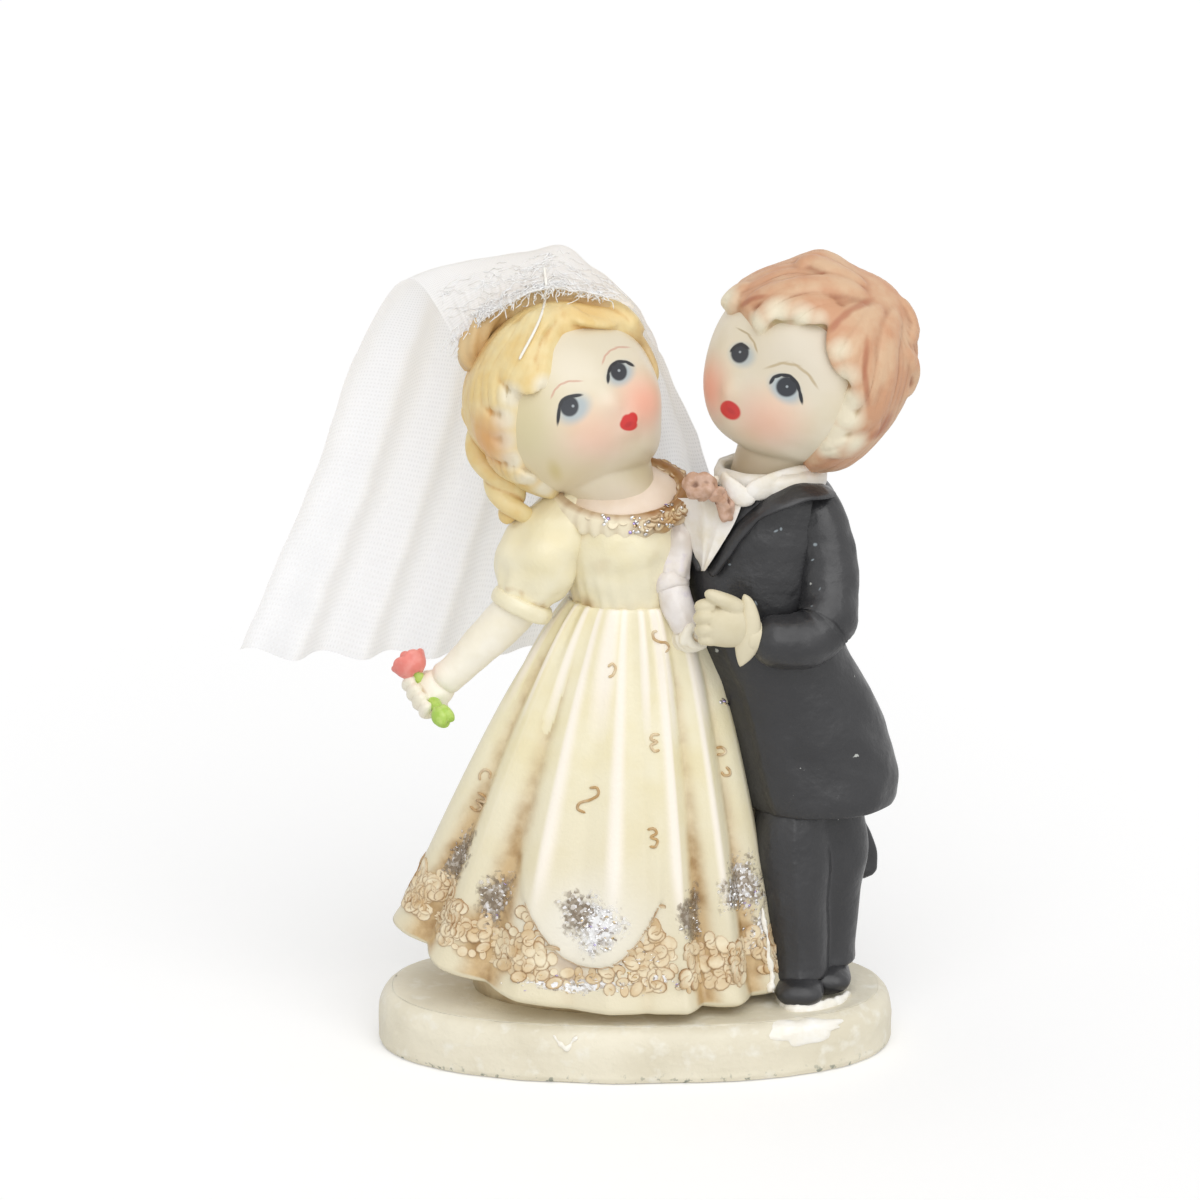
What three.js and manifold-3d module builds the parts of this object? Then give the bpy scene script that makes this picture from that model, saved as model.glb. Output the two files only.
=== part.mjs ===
// Wedding cake topper: a dancing bride and groom in cast resin on an oval plinth, with a gauze veil.
// Millimetres, +Z up. The origin is the middle of the plinth's underside, and the couple face -Y.
// Every casting is shaped whole, placed in its figure's group, and then trimmed to clear its neighbours
// by the glue line, so that pegs make their own sockets.
import * as THREE from "three";
import { mergeVertices } from "three/addons/utils/BufferGeometryUtils.js";
import Module from "manifold-3d";

const wasm = await Module();
wasm.setup();

// Joints between castings
const glueLine = 0.3;
const pegDepth = 3;
const skirtPegWidth = 8;
const waistPegWidth = 6;
const shoePegWidth = 2;

// Plinth
const plinthLength = 65;
const plinthDepth = 34;
const plinthHeight = 7;
const plinthEdge = 2.2;
const plinthSquareness = 2.3;

// Bride: skirt
const brideX = -0.75;
const brideY = 0;
const skirtHeight = 49;
const waistWidth = 14.8;
const waistDepth = 12;
const hemRight = 19;
const hemLeft = 28.6;
const hemDepth = 29;
const hemClearance = 1.8;
const hemLift = 7.2;
const hemLiftSharpness = 5.5;
const hemThickness = 1.4;
const skirtFootWidth = 33;
const skirtFootDepth = 21;
const skirtFootShift = -3;
const skirtFlare = 0.83;
const skirtSides = 92;
const skirtRidge = 0.7;
// Folds: angle from the bride's left with -90 in front, depth at the hem, half-width in degrees.
// A depth below zero is a ridge.
const skirtFolds = [
  [-155, 2.1, 7],
  [-142, -0.4, 5],
  [-130, 2, 6],
  [-118, -0.5, 4],
  [-105, 0.5, 4],
  [-95, -0.4, 3.5],
  [-84, 0.5, 4],
  [-70, -0.6, 3.5],
  [-61, 1.8, 5],
  [-50, -0.5, 4.5],
  [-38, 1.5, 6],
  [-24, -0.3, 5],
  [-10, 1.2, 8],
  [14, 1.4, 9],
  [40, 1.5, 9],
  [66, 1.5, 9],
  [92, 1.5, 8],
  [118, 1.5, 8],
  [144, 1.5, 8],
  [172, 1.4, 8],
];

// Bride: bodice, neckline and head, measured from the waist
const bodiceHeight = 14.5;
const bustWidth = 14.6;
const bustDepth = 13.8;
const bustHeight = 8;
const bustShift = -0.9;
const shoulderWidth = 14.2;
const shoulderDepth = 12;
const yokeRise = 1.7;
const necklineWidth = 15.2;
const necklineDepth = 12.2;
const necklineShift = -1.1;
const necklineThickness = 2.6;
const necklineTilt = 24;
const necklineBeads = 11;
const brideHeadRadius = 11.2;
const brideHairThickness = 1.1;
const brideHeadCentre = [-7.8, 0, 25.4];
const brideHeadTurn = { yaw: 15, pitch: -22, roll: -36 };
const brideNeckRadius = 3.3;
const brideNeckFoot = [-0.6, -0.9, 9.5];

// Bride: arms, measured from the waist
const rightShoulder = [-6.4, -0.8, 11.4];
const rightSleevePuff = [-10.3, -1.9, 6.8];
const rightCuff = [-13, -3, 0.7];
const rightWrist = [-22, -4, -8];
const rightFist = [-24.6, -4.1, -9.8];
const rightPuffRadius = 5.1;
const leftShoulder = [3.9, -0.8, 11.4];
const leftSleevePuff = [5, -3, 7.4];
const leftCuff = [5, -4.6, 3.4];
const leftWrist = [6.6, -5.8, -0.6];
const leftFist = [7.2, -6, -1.8];
const leftPuffRadius = 2.8;
const rightForearmRadius = 2.8;
const leftForearmRadius = 1.9;
const brideCuffOverhang = 0.9;
const brideCuffLength = 2.2;
const wristShare = 0.72;
const rightFistRadius = 2.9;
const leftFistRadius = 2.1;

// Rose in the bride's right fist
const roseBloom = [-26.7, -4, -6.4];
const roseStemEnd = [-23, -7.6, -11.3];
const roseRadius = 2.3;
const rosePetals = 5;
const roseStemRadius = 0.8;
const roseLeafRadius = 1.5;

// Bride: hair and veil, measured from the waist
const hairRollRadius = 1.8;
const hairRollPath = [
  [-19.6, 0.6, 31.6],
  [-16.2, 0.9, 36.2],
  [-9.6, 0.8, 38.7],
  [-3, 0.8, 37.4],
  [0.6, 0.9, 33.6],
];
const sideCurlRadius = 3;
const sideCurlPath = [
  [-18.2, 0.6, 25.4],
  [-17.2, -1, 19],
  [-14.8, -2.4, 14.4],
  [-13.4, -2.2, 11],
];
const sideCurlTwists = 3;
const veilThickness = 0.9;
const veilFoldDepth = 1.6;
const veilFolds = 7;
const veilLeftEdge = [
  [-20.4, 0.4, 33.6],
  [-26.6, 4, 39.6],
  [-33, 8, 31],
  [-39, 9, 14],
  [-48.4, 8.4, -8.4],
];
const veilMiddle = [
  [-11.4, -1.6, 39],
  [-10.5, 4.4, 43.2],
  [-9.6, 14.4, 34],
  [-12, 16.6, 14],
  [-18, 15.6, -10.4],
];
const veilRightEdge = [
  [0.2, 0.4, 37],
  [0.6, 5, 36.8],
  [4.6, 11, 28.4],
  [10.4, 14, 12],
  [12.6, 15.6, -7],
];

// Groom: trousers and shoes, measured from the plinth
const groomX = 22;
const groomY = 0;
const hipBelowBrideWaist = 24;
const hipHeight = skirtHeight - hipBelowBrideWaist;
const legRadius = 4;
const rightLegX = -2.1;
const rightLegY = -3.2;
const rightLegFoot = 3.2;
const leftLegX = 0.9;
const leftLegY = 2;
const leftLegFoot = 5;
const shoeWidth = 5.8;
const shoeLength = 10.6;
const shoeHeight = 3.6;
const ankleRadius = 2.3;
const glueFilletWidth = 9.5;
const glueFilletDepth = 4.4;
const glueFilletHeight = 0.7;

// Groom: tailcoat, measured from the hips
const coatHem = [0.6, 1.8, -1.6, 9.4, 8.8];
const coatHip = [-0.2, 1.6, 4, 10.4, 8.4];
const coatWaist = [-2.4, 1.2, 12, 9.7, 7.8];
const coatRibs = [-5.3, 0.4, 19.5, 8.8, 7.3];
const coatChest = [-6.2, 0, 27, 8.7, 7.2];
const coatShoulder = [-6.2, 0, 34.4, 9, 7];
const coatYoke = [-6.2, 0.2, 38, 8.2, 6.6];
const coatNape = [-6.2, 0.2, 40.4, 6.2, 5.4];
const tailThickness = 2.2;
const tailWidth = 5.4;
const leftTailPath = [
  [2.6, 8.2, 3],
  [3, 9.4, -5],
  [5.2, 9.4, -11],
  [6, 9, -14],
];
const rightTailPath = [
  [-3, 8, 3],
  [-3, 9.6, -5],
  [-3, 9.8, -11],
  [-2.6, 9.4, -14],
];

// Groom: shirt, lapels, collar and bow tie; the chest faces the bride
const chestTurn = -53;
const shirtPoint = [0, 29.6];
const shirtLeftTop = [-4.2, 38.6];
const shirtRightTop = [6.6, 40.6];
const shirtThickness = 1;
const lapelThickness = 1.5;
const lapelWidth = 2.6;
const lapelEasing = 0.6;
const collarRadius = 6.6;
const collarHeight = 3.6;
const collarThickness = 1.1;
const collarCentre = [-5.8, -0.2, 38.6];
const bowReach = 8.6;
const bowHeight = 38.8;
const bowWing = 3;
const bowWingHeight = 2.1;
const bowKnotRadius = 1.1;
const bowTilt = -16;

// Groom: arms, measured from the hips
const groomLeftShoulder = [-0.4, -2, 36.4];
const groomLeftUpperArm = [1, -4.6, 29.4];
const groomLeftElbow = [-0.2, -8, 22.6];
const groomLeftCuff = [-8, -10.4, 22.6];
const groomLeftHand = [-11.6, -10.6, 24.2];
const groomRightShoulder = [-12, 3, 35];
const groomRightUpperArm = [-15.6, 8.2, 31];
const groomRightElbow = [-20, 10.4, 27.6];
const groomRightCuff = [-24.4, 10.2, 26.3];
const groomRightHand = [-27.6, 9.4, 26];
const groomSleeveRadius = 3.5;
const groomCuffShare = 0.8;
const groomCuffOverhang = 0.6;
const groomCuffLength = 1.8;
const palmLength = 2.5;
const palmThickness = 2;
const palmWidth = 2.9;
const fingerRadius = 0.8;

// Groom: head and hair, measured from the hips
const groomHeadRadius = 11.7;
const groomHairThickness = 1.5;
const groomHeadCentre = [-1.8, 0, 53.6];
const groomHeadTurn = { yaw: -20, pitch: -16, roll: 36 };
const groomNeckRadius = 5;
const groomNeckFoot = [-7.2, 0, 36];
const earHeight = 5;
const earThickness = 2.2;
const earSpot = [0.92, -0.36, -0.14];
// Where the hair stands thicker or thinner: direction from the head's middle, rise, spread in degrees.
const groomHairSwells = [
  [[-0.52, 0.03, 0.86], 1.6, 21],
  [[0.06, 0.22, 0.97], 1.1, 21],
  [[0.49, 0.31, 0.82], 0.8, 24],
  [[-0.88, -0.45, 0.14], 0.7, 14],
  [[0.98, -0.2, 0.07], -0.8, 22],
];
const brideHairSwells = [
  [[-0.75, -0.09, 0.66], 0.6, 24],
  [[0.23, -0.57, 0.79], 0.8, 19],
  [[0.92, -0.23, 0.33], 0.8, 15],
];

// Paints and cloth
const paint = {
  ivory: { color: 0xe9e2c4, roughness: 0.45 },
  gown: { color: 0xf1e8c6, roughness: 0.3 },
  skin: { color: 0xf2e6d2, roughness: 0.5 },
  blond: { color: 0xe8cb84, roughness: 0.55 },
  ginger: { color: 0xd6a27c, roughness: 0.55 },
  black: { color: 0x3d3d3e, roughness: 0.35 },
  shirt: { color: 0xf2eee6, roughness: 0.45 },
  rose: { color: 0xec8f86, roughness: 0.5 },
  leaf: { color: 0xa9c84e, roughness: 0.5 },
  dustyPink: { color: 0xcf9c86, roughness: 0.55 },
  gauze: { color: 0xf6f6f8, roughness: 0.9 },
  glue: { color: 0xf4f2ea, roughness: 0.25 },
};

const weld = 1e-4;
const degrees = THREE.MathUtils.degToRad;
const { euclideanModulo, lerp, smoothstep } = THREE.MathUtils;
const upAxis = new THREE.Vector3(0, 0, 1);
const acrossAxis = new THREE.Vector3(1, 0, 0);

// Keeps positions alone and joins shared corners, so that the surface is closed.
function welded(geometry) {
  geometry.deleteAttribute("normal");
  geometry.deleteAttribute("uv");
  return mergeVertices(geometry, weld);
}

// Moves every corner of a geometry to where point(corner) says.
function moved(geometry, point) {
  const positions = geometry.attributes.position;
  const corner = new THREE.Vector3();
  for (let i = 0; i < positions.count; i++) {
    corner.fromBufferAttribute(positions, i);
    positions.setXYZ(i, ...point(corner));
  }
  return welded(geometry);
}

// A closed surface of stacked rings: point(share, angle, reach) has share 0 at the first ring and 1 at
// the last, and reach 0 in the middle of the two end caps.
function skin(point, sides, steps) {
  return moved(new THREE.CylinderGeometry(1, 1, 1, sides, steps), (corner) => {
    const reach = Math.min(1, Math.round(Math.hypot(corner.x, corner.z)));
    return point(corner.y + 0.5, Math.atan2(corner.x, corner.z), reach);
  });
}

// A ball whose surface lies at reach(direction) from its middle, with its poles on Z.
function ball(reach, around, up) {
  const sphere = new THREE.SphereGeometry(1, around, up).rotateX(Math.PI / 2);
  return moved(sphere, (corner) => {
    const direction = corner.clone().normalize();
    return direction.multiplyScalar(reach(direction));
  });
}

// A ball with three half-axes at a centre.
function egg(centre, halfAxes, around = 12, up = 8) {
  const sphere = new THREE.SphereGeometry(1, around, up).rotateX(Math.PI / 2);
  return moved(sphere, (corner) => [
    centre[0] + halfAxes[0] * corner.x,
    centre[1] + halfAxes[1] * corner.y,
    centre[2] + halfAxes[2] * corner.z,
  ]);
}

// A flat-bottomed mound with a rounded top.
function mound(centre, halfAxes, sides, steps = 4) {
  const crown = 0.15;
  return skin((share, angle, reach) => {
    const turn = Math.acos(lerp(1, crown, share));
    const ring = reach * Math.cos(turn);
    return [
      centre[0] + halfAxes[0] * ring * Math.cos(angle),
      centre[1] + halfAxes[1] * ring * Math.sin(angle),
      centre[2] + halfAxes[2] * Math.sin(turn),
    ];
  }, sides, steps);
}

// A limb along a smooth line through stops of [x, y, z, half-width, half-depth].
// The half-widths lie along the side direction; swell(share, angle) scales a ring.
function limb(stops, { sides = 10, steps = 5, side = acrossAxis, swell = () => 1 } = {}) {
  const line = new THREE.CatmullRomCurve3(stops.map((s) => new THREE.Vector3(s[0], s[1], s[2])));
  const sizes = new THREE.CatmullRomCurve3(
    stops.map((s) => new THREE.Vector3(s[3], s[4] ?? s[3], 0)),
  );
  return skin((share, angle, reach) => {
    const along = line.getTangent(share);
    const across = side.clone().addScaledVector(along, -side.dot(along)).normalize();
    const over = along.clone().cross(across);
    const size = sizes.getPoint(share).multiplyScalar(reach * swell(share, angle));
    return line
      .getPoint(share)
      .addScaledVector(across, Math.cos(angle) * size.x)
      .addScaledVector(over, Math.sin(angle) * size.y);
  }, sides, steps);
}

// A round peg or band between two points.
function rod(from, to, radius, sides = 10) {
  return limb([[...from, radius], [...to, radius]], { sides, steps: 1, side: sideOf(from, to) });
}

// A direction square to a line, for rings that need no set side.
function sideOf(from, to) {
  const along = new THREE.Vector3(...to).sub(new THREE.Vector3(...from)).normalize();
  return Math.abs(along.x) > 0.8 ? upAxis : acrossAxis;
}

// Point a share of the way from one place to another.
function between(from, to, share) {
  return from.map((value, axis) => lerp(value, to[axis], share));
}

// Point a distance beyond one place on the line from another.
function beyond(from, to, distance) {
  const length = Math.hypot(...to.map((value, axis) => value - from[axis]));
  return between(from, to, 1 + distance / length);
}

// How near a direction is to an axis: 1 on it, falling away over a spread given in degrees.
function nearness(direction, axis, spread) {
  const angle = direction.angleTo(axis);
  return Math.exp(-((angle / degrees(spread)) ** 2));
}

// Solids for joining and cutting.
function solid(geometry) {
  return new wasm.Manifold(
    new wasm.Mesh({
      numProp: 3,
      vertProperties: new Float32Array(geometry.attributes.position.array),
      triVerts: new Uint32Array(geometry.index.array),
    }),
  );
}

function surface(manifold) {
  const mesh = manifold.getMesh();
  const geometry = new THREE.BufferGeometry();
  geometry.setAttribute("position", new THREE.BufferAttribute(mesh.vertProperties, 3));
  geometry.setIndex(new THREE.BufferAttribute(mesh.triVerts, 1));
  return geometry;
}

function joined(...geometries) {
  return surface(geometries.map(solid).reduce((whole, piece) => whole.add(piece)));
}

// The same surface pushed outwards by a distance.
function grown(geometry, distance) {
  const copy = geometry.clone();
  copy.computeVertexNormals();
  const positions = copy.attributes.position;
  const normals = copy.attributes.normal;
  for (let i = 0; i < positions.count; i++) {
    positions.setXYZ(
      i,
      positions.getX(i) + distance * normals.getX(i),
      positions.getY(i) + distance * normals.getY(i),
      positions.getZ(i) + distance * normals.getZ(i),
    );
  }
  copy.deleteAttribute("normal");
  return copy;
}

// Adds a named casting to a group and remembers its untrimmed shape for its neighbours' sockets.
function casting(group, name, geometry, finish) {
  const mesh = new THREE.Mesh(geometry, new THREE.MeshStandardMaterial({ metalness: 0, ...finish }));
  mesh.name = name;
  mesh.userData.whole = geometry;
  group.add(mesh);
  return mesh;
}

// Trims a casting to clear each neighbour by the glue line and keeps its main body.
function trim(mesh, ...neighbours) {
  const toMesh = mesh.matrixWorld.clone().invert();
  let rest = solid(mesh.geometry);
  for (const neighbour of neighbours) {
    const cutter = grown(neighbour.userData.whole, glueLine);
    cutter.applyMatrix4(toMesh.clone().multiply(neighbour.matrixWorld));
    rest = rest.subtract(solid(cutter));
  }
  const bodies = rest.decompose().sort((a, b) => b.volume() - a.volume());
  mesh.geometry = surface(bodies[0]);
}

// Plinth: an oval slab with a rounded upper edge.
function plinthShape() {
  const edgeSteps = 3;
  const rows = [{ inset: 0, z: 0 }];
  for (let i = 0; i <= edgeSteps; i++) {
    const turn = (i / edgeSteps) * (Math.PI / 2);
    rows.push({
      inset: plinthEdge * (1 - Math.cos(turn)),
      z: plinthHeight - plinthEdge * (1 - Math.sin(turn)),
    });
  }
  const rounding = 2 / plinthSquareness;
  return skin((share, angle, reach) => {
    const row = rows[Math.round(share * (rows.length - 1))];
    const halfLength = plinthLength / 2 - row.inset;
    const halfDepth = plinthDepth / 2 - row.inset;
    const c = Math.cos(angle);
    const s = Math.sin(angle);
    return [
      reach * halfLength * Math.sign(c) * Math.abs(c) ** rounding,
      reach * halfDepth * Math.sign(s) * Math.abs(s) ** rounding,
      row.z,
    ];
  }, 36, rows.length - 1);
}

// Skirt: a bell with placed folds that swirls up at the bride's right, on a foot that stands on the plinth.
function skirtShape() {
  const flareSteps = 7;
  const lipRows = 3;
  const steps = flareSteps + lipRows;
  const frontCrowding = 0.4;
  const hemHeight = (angle) => hemClearance + hemLift * (0.5 - 0.5 * Math.cos(angle)) ** hemLiftSharpness;
  const foldDepth = (angle) =>
    skirtFolds.reduce((sum, [place, depth, halfWidth]) => {
      const turn = euclideanModulo(angle / degrees(1) - place + 180, 360) - 180;
      return sum + depth * Math.exp(-((Math.abs(turn) / halfWidth) ** 1.5));
    }, 0);
  const flare = (share, angle, reach, inset) => {
    const bell = share ** skirtFlare;
    const fold = skirtRidge * share - foldDepth(angle) * share ** 0.7 - inset;
    const halfWidth = lerp(waistWidth / 2, Math.cos(angle) > 0 ? hemRight : hemLeft, bell) + fold;
    const halfDepth = lerp(waistDepth, hemDepth, bell) / 2 + fold;
    return [
      reach * halfWidth * Math.cos(angle),
      reach * halfDepth * Math.sin(angle),
      lerp(skirtHeight, hemHeight(angle), share),
    ];
  };
  const foot = (angle, reach, z) => [
    skirtFootShift + (reach * skirtFootWidth * Math.cos(angle)) / 2,
    (reach * skirtFootDepth * Math.sin(angle)) / 2,
    z,
  ];
  const bell = skin((share, evenAngle, reach) => {
    const row = Math.round(share * steps);
    const angle = evenAngle - frontCrowding * Math.cos(evenAngle);
    if (row === 0) return foot(angle, reach, glueLine + weld);
    if (row === 1) return foot(angle, reach, hemHeight(angle) + hemThickness);
    if (row === 2) return flare(1, angle, reach, hemThickness);
    return flare((steps - row) / flareSteps, angle, reach, 0);
  }, skirtSides, steps);
  const peg = rod([0, 0, -pegDepth], [0, 0, pegDepth], skirtPegWidth / 2);
  return joined(bell, peg);
}

// Bodice: waist to shoulders, with a yoke that fills the neckline and a peg for the skirt.
function bodiceShape() {
  const neckWidth = necklineWidth * 0.72;
  const body = limb(
    [
      [0, 0, 0, waistWidth / 2 - glueLine, waistDepth / 2 - glueLine],
      [bustShift / 3, -0.3, bustHeight / 2, waistWidth / 2 - glueLine, lerp(waistDepth, bustDepth, 0.5) / 2],
      [bustShift, -0.7, bustHeight, bustWidth / 2, bustDepth / 2],
      [bustShift, -0.2, lerp(bustHeight, bodiceHeight, 0.6), shoulderWidth / 2, shoulderDepth / 2],
      [bustShift, 0, bodiceHeight, neckWidth / 2, neckWidth / 2],
    ],
    { sides: 16, steps: 5 },
  );
  const yoke = onNeckline(egg([0, 0, 0], [necklineWidth / 2, necklineDepth / 2, yokeRise], 14, 6));
  return joined(body, yoke, rod([0, 0, -pegDepth], [0, 0, pegDepth], waistPegWidth / 2));
}

// Leans a shape drawn about the origin as the neckline leans, and puts it there.
function onNeckline(geometry) {
  const height = lerp(bustHeight, bodiceHeight, 0.9);
  return geometry.rotateX(degrees(necklineTilt)).translate(necklineShift, -0.6, height);
}

// Neckline garland: a beaded ring round the shoulders, low at the front.
function necklineShape() {
  const ring = moved(new THREE.TorusGeometry(1, 0.5, 5, 3 * necklineBeads), (corner) => {
    const angle = Math.atan2(corner.y, corner.x);
    const swell = 1 + 0.22 * Math.cos(necklineBeads * angle);
    const outwards = (Math.hypot(corner.x, corner.y) - 1) * necklineThickness * swell;
    return [
      (necklineWidth / 2 + outwards) * Math.cos(angle),
      (necklineDepth / 2 + outwards) * Math.sin(angle),
      corner.z * necklineThickness * swell,
    ];
  });
  return onNeckline(ring);
}

// Head: a doll's round skull with full cheeks, a small nose and chin, and a neck that plugs into the body.
function headShape(radius, neckRadius, neckFoot, ears) {
  const features = [
    { axis: [0.52, -0.78, -0.36], rise: 0.07, spread: 24 },
    { axis: [-0.52, -0.78, -0.36], rise: 0.07, spread: 24 },
    { axis: [0, -0.72, -0.7], rise: 0.06, spread: 20 },
    { axis: [0, -0.95, -0.3], rise: 0.07, spread: 9 },
    { axis: [0, -0.86, -0.52], rise: 0.03, spread: 10 },
    { axis: [0, 0.8, 0.3], rise: 0.03, spread: 50 },
  ].map((f) => ({ ...f, axis: new THREE.Vector3(...f.axis).normalize() }));
  const skull = ball((direction) => {
    const rise = features.reduce((sum, f) => sum + f.rise * nearness(direction, f.axis, f.spread), 0);
    return radius * (1 + rise - 0.03 * Math.abs(direction.x));
  }, 18, 12);
  const foot = neckFoot.toArray();
  const neck = rod([0, 0, -radius / 3], foot, neckRadius);
  const lobes = ears
    ? [-1, 1].map((hand) =>
        egg(
          [hand * radius * earSpot[0], radius * earSpot[1], radius * earSpot[2]],
          [earThickness / 2, earThickness * 0.8, earHeight / 2],
          6,
          4,
        ),
      )
    : [];
  return joined(skull, neck, ...lobes);
}

// Hair: a wavy cap over the skull, thicker where it swells, open at the face and under the chin.
function hairShape(radius, thickness, { faceAxis, faceOpening, locks, part, swells, showEars }) {
  const face = new THREE.Vector3(...faceAxis).normalize();
  const throat = new THREE.Vector3(0, -0.35, -0.94).normalize();
  const parting = new THREE.Vector3(...part).normalize();
  const ear = new THREE.Vector3(...earSpot).normalize();
  const tufts = swells.map(([axis, rise, spread]) => {
    return { axis: new THREE.Vector3(...axis).normalize(), rise, spread };
  });
  return ball((direction) => {
    const bearing = Math.atan2(direction.x, direction.y);
    const wave = 0.5 + 0.5 * Math.cos(locks * bearing + 5 * direction.angleTo(parting));
    const clearFace = smoothstep(direction.angleTo(face), degrees(faceOpening - 7), degrees(faceOpening + 3));
    const clearThroat = smoothstep(direction.angleTo(throat), degrees(50), degrees(62));
    const earSide = new THREE.Vector3(Math.abs(direction.x), direction.y, direction.z);
    const clearEar = showEars ? smoothstep(earSide.angleTo(ear), degrees(13), degrees(22)) : 1;
    const cover = Math.min(clearFace, clearThroat, clearEar);
    const swell = tufts.reduce((sum, t) => sum + t.rise * nearness(direction, t.axis, t.spread), 0);
    return radius * 1.02 + lerp(-0.12 * radius, thickness * (0.6 + 0.45 * wave) + swell, cover);
  }, 22, 14);
}

// A puffed sleeve from shoulder to cuff.
function puffShape(shoulder, puff, cuff, radius, cuffRadius) {
  return limb(
    [
      [...shoulder, radius * 0.62],
      [...between(shoulder, puff, 0.55), radius * 0.95],
      [...puff, radius],
      [...between(puff, cuff, 0.6), radius * 0.88],
      [...cuff, cuffRadius],
    ],
    { sides: 14, steps: 5, swell: (share, angle) => 1 + 0.05 * share * Math.cos(7 * angle) },
  );
}

// A bride's arm: sleeve, cuff band, forearm and fist.
function brideArm(group, hand, { shoulder, puff, cuff, wrist, fist, puffRadius, armRadius, fistRadius }) {
  const cuffRadius = armRadius + brideCuffOverhang;
  const cuffEnd = beyond(puff, cuff, brideCuffLength);
  const forearm = limb(
    [
      [...between(cuff, puff, 0.3), armRadius],
      [...between(cuff, wrist, 0.3), armRadius],
      [...wrist, armRadius * wristShare],
    ],
    { steps: 7, side: sideOf(cuff, wrist) },
  );
  const knuckles = [-1, 0, 1].map((step) => {
    const place = beyond(wrist, fist, fistRadius * 0.3);
    return egg([place[0] - 0.4, place[1] - fistRadius * 0.5, place[2] + step * fistRadius * 0.55],
      [fistRadius * 0.75, fistRadius * 0.55, fistRadius * 0.36], 6, 4);
  });
  const palm = egg(fist, [fistRadius, fistRadius * 0.8, fistRadius * 0.95], 8, 6);
  const peg = rod(between(wrist, cuff, 0.12), fist, armRadius * wristShare * 0.6);
  const sleeve = puffShape(shoulder, puff, cuff, puffRadius, cuffRadius);
  return {
    sleeve: casting(group, `bride_${hand}_sleeve`, sleeve, paint.gown),
    cuff: casting(group, `bride_${hand}_cuff`, rod(cuff, cuffEnd, cuffRadius, 14), paint.gown),
    forearm: casting(group, `bride_${hand}_forearm`, forearm, paint.skin),
    fist: casting(group, `bride_${hand}_fist`, joined(palm, peg, ...knuckles), paint.skin),
  };
}

// Rose: a lobed bloom on a stem that passes through the fist and ends in a leaf bud.
function bloomShape() {
  const shape = ball((direction) => {
    const lobes = Math.cos(rosePetals * Math.atan2(direction.x, direction.z));
    return roseRadius * (1 + 0.12 * lobes * Math.sqrt(direction.x ** 2 + direction.z ** 2));
  }, 15, 8);
  return shape.translate(...roseBloom);
}

function stemShape() {
  const stem = rod(between(roseBloom, roseStemEnd, 0.1), roseStemEnd, roseStemRadius, 10);
  const leaf = egg(roseStemEnd, [roseLeafRadius, roseLeafRadius * 0.8, roseLeafRadius], 10, 6);
  return joined(stem, leaf);
}

// Side curl: a ringlet that hangs from the hair to the shoulder.
function sideCurlShape() {
  const radii = [0.85, 1, 0.78, 0.42];
  const stops = sideCurlPath.map((place, i) => [...place, sideCurlRadius * radii[i]]);
  const swell = (share, angle) => 1 + 0.16 * Math.cos(2 * angle - sideCurlTwists * 2 * Math.PI * share);
  return limb(stops, { sides: 10, steps: 10, swell });
}

// Hair roll: the padded roll over the crown that the veil is gathered on.
function hairRollShape() {
  const last = hairRollPath.length - 1;
  const stops = hairRollPath.map((place, i) => [
    ...place,
    hairRollRadius * (0.5 + 0.5 * Math.sin((Math.PI * i) / last)),
  ]);
  return limb(stops, { sides: 8, steps: 10, side: new THREE.Vector3(0, 1, 0) });
}

// Veil: one sheet of gauze gathered on the hair roll, over the crest and down behind the couple in folds.
function veilShape() {
  const edge = (places) => new THREE.CatmullRomCurve3(places.map((p) => new THREE.Vector3(...p)));
  const left = edge(veilLeftEdge);
  const middle = edge(veilMiddle);
  const right = edge(veilRightEdge);
  const cloth = (across, down) => {
    const l = left.getPoint(down);
    const m = middle.getPoint(down);
    const r = right.getPoint(down);
    // The parabola through the left edge, the middle and the right edge.
    return l
      .multiplyScalar((across * (across - 1)) / 2)
      .addScaledVector(m, 1 - across * across)
      .addScaledVector(r, (across * (across + 1)) / 2);
  };
  const small = 1e-3;
  return moved(new THREE.BoxGeometry(2, 1, 1, 24, 7, 1), (corner) => {
    const across = corner.x;
    const down = 0.5 - corner.y;
    const place = cloth(across, down);
    const alongWidth = cloth(across + small, down).sub(cloth(across - small, down));
    const below = cloth(across, Math.min(1, down + small));
    const alongLength = below.sub(cloth(across, Math.max(0, down - small)));
    const outwards = alongLength.cross(alongWidth).normalize();
    const hanging = smoothstep(down, 0.2, 0.55);
    const fold = veilFoldDepth * down * hanging * Math.cos(veilFolds * Math.PI * across + 2 * down);
    return place.addScaledVector(outwards, corner.z * veilThickness + fold);
  });
}

// Trousers: two legs joined at the seat.
function trousersShape() {
  const seat = hipHeight + 3;
  const leg = (x, y, foot) =>
    limb([
      [x, y, foot, legRadius],
      [x, y, lerp(foot, seat, 0.4), legRadius],
      [x * 0.7, y * 0.5, lerp(foot, seat, 0.8), legRadius * 1.12],
      [x * 0.6, y * 0.3, seat, legRadius * 1.05],
    ], { sides: 10, steps: 4 });
  return joined(leg(rightLegX, rightLegY, rightLegFoot), leg(leftLegX, leftLegY, leftLegFoot));
}

// Shoe: a flat-soled toe, an ankle that plugs into the trouser leg and a peg that plugs into the plinth.
function shoeShape(x, y, legFoot) {
  const heel = shoeLength * 0.2;
  const upper = mound([x, y - heel, 0], [shoeWidth / 2, shoeLength / 2, shoeHeight], 12, 3);
  const ankle = rod([x, y, shoeHeight * 0.3], [x, y, legFoot + pegDepth], ankleRadius);
  const peg = rod([x, y - heel, -pegDepth], [x, y - heel, shoeHeight * 0.3], shoePegWidth / 2);
  return joined(upper, ankle, peg);
}

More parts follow.
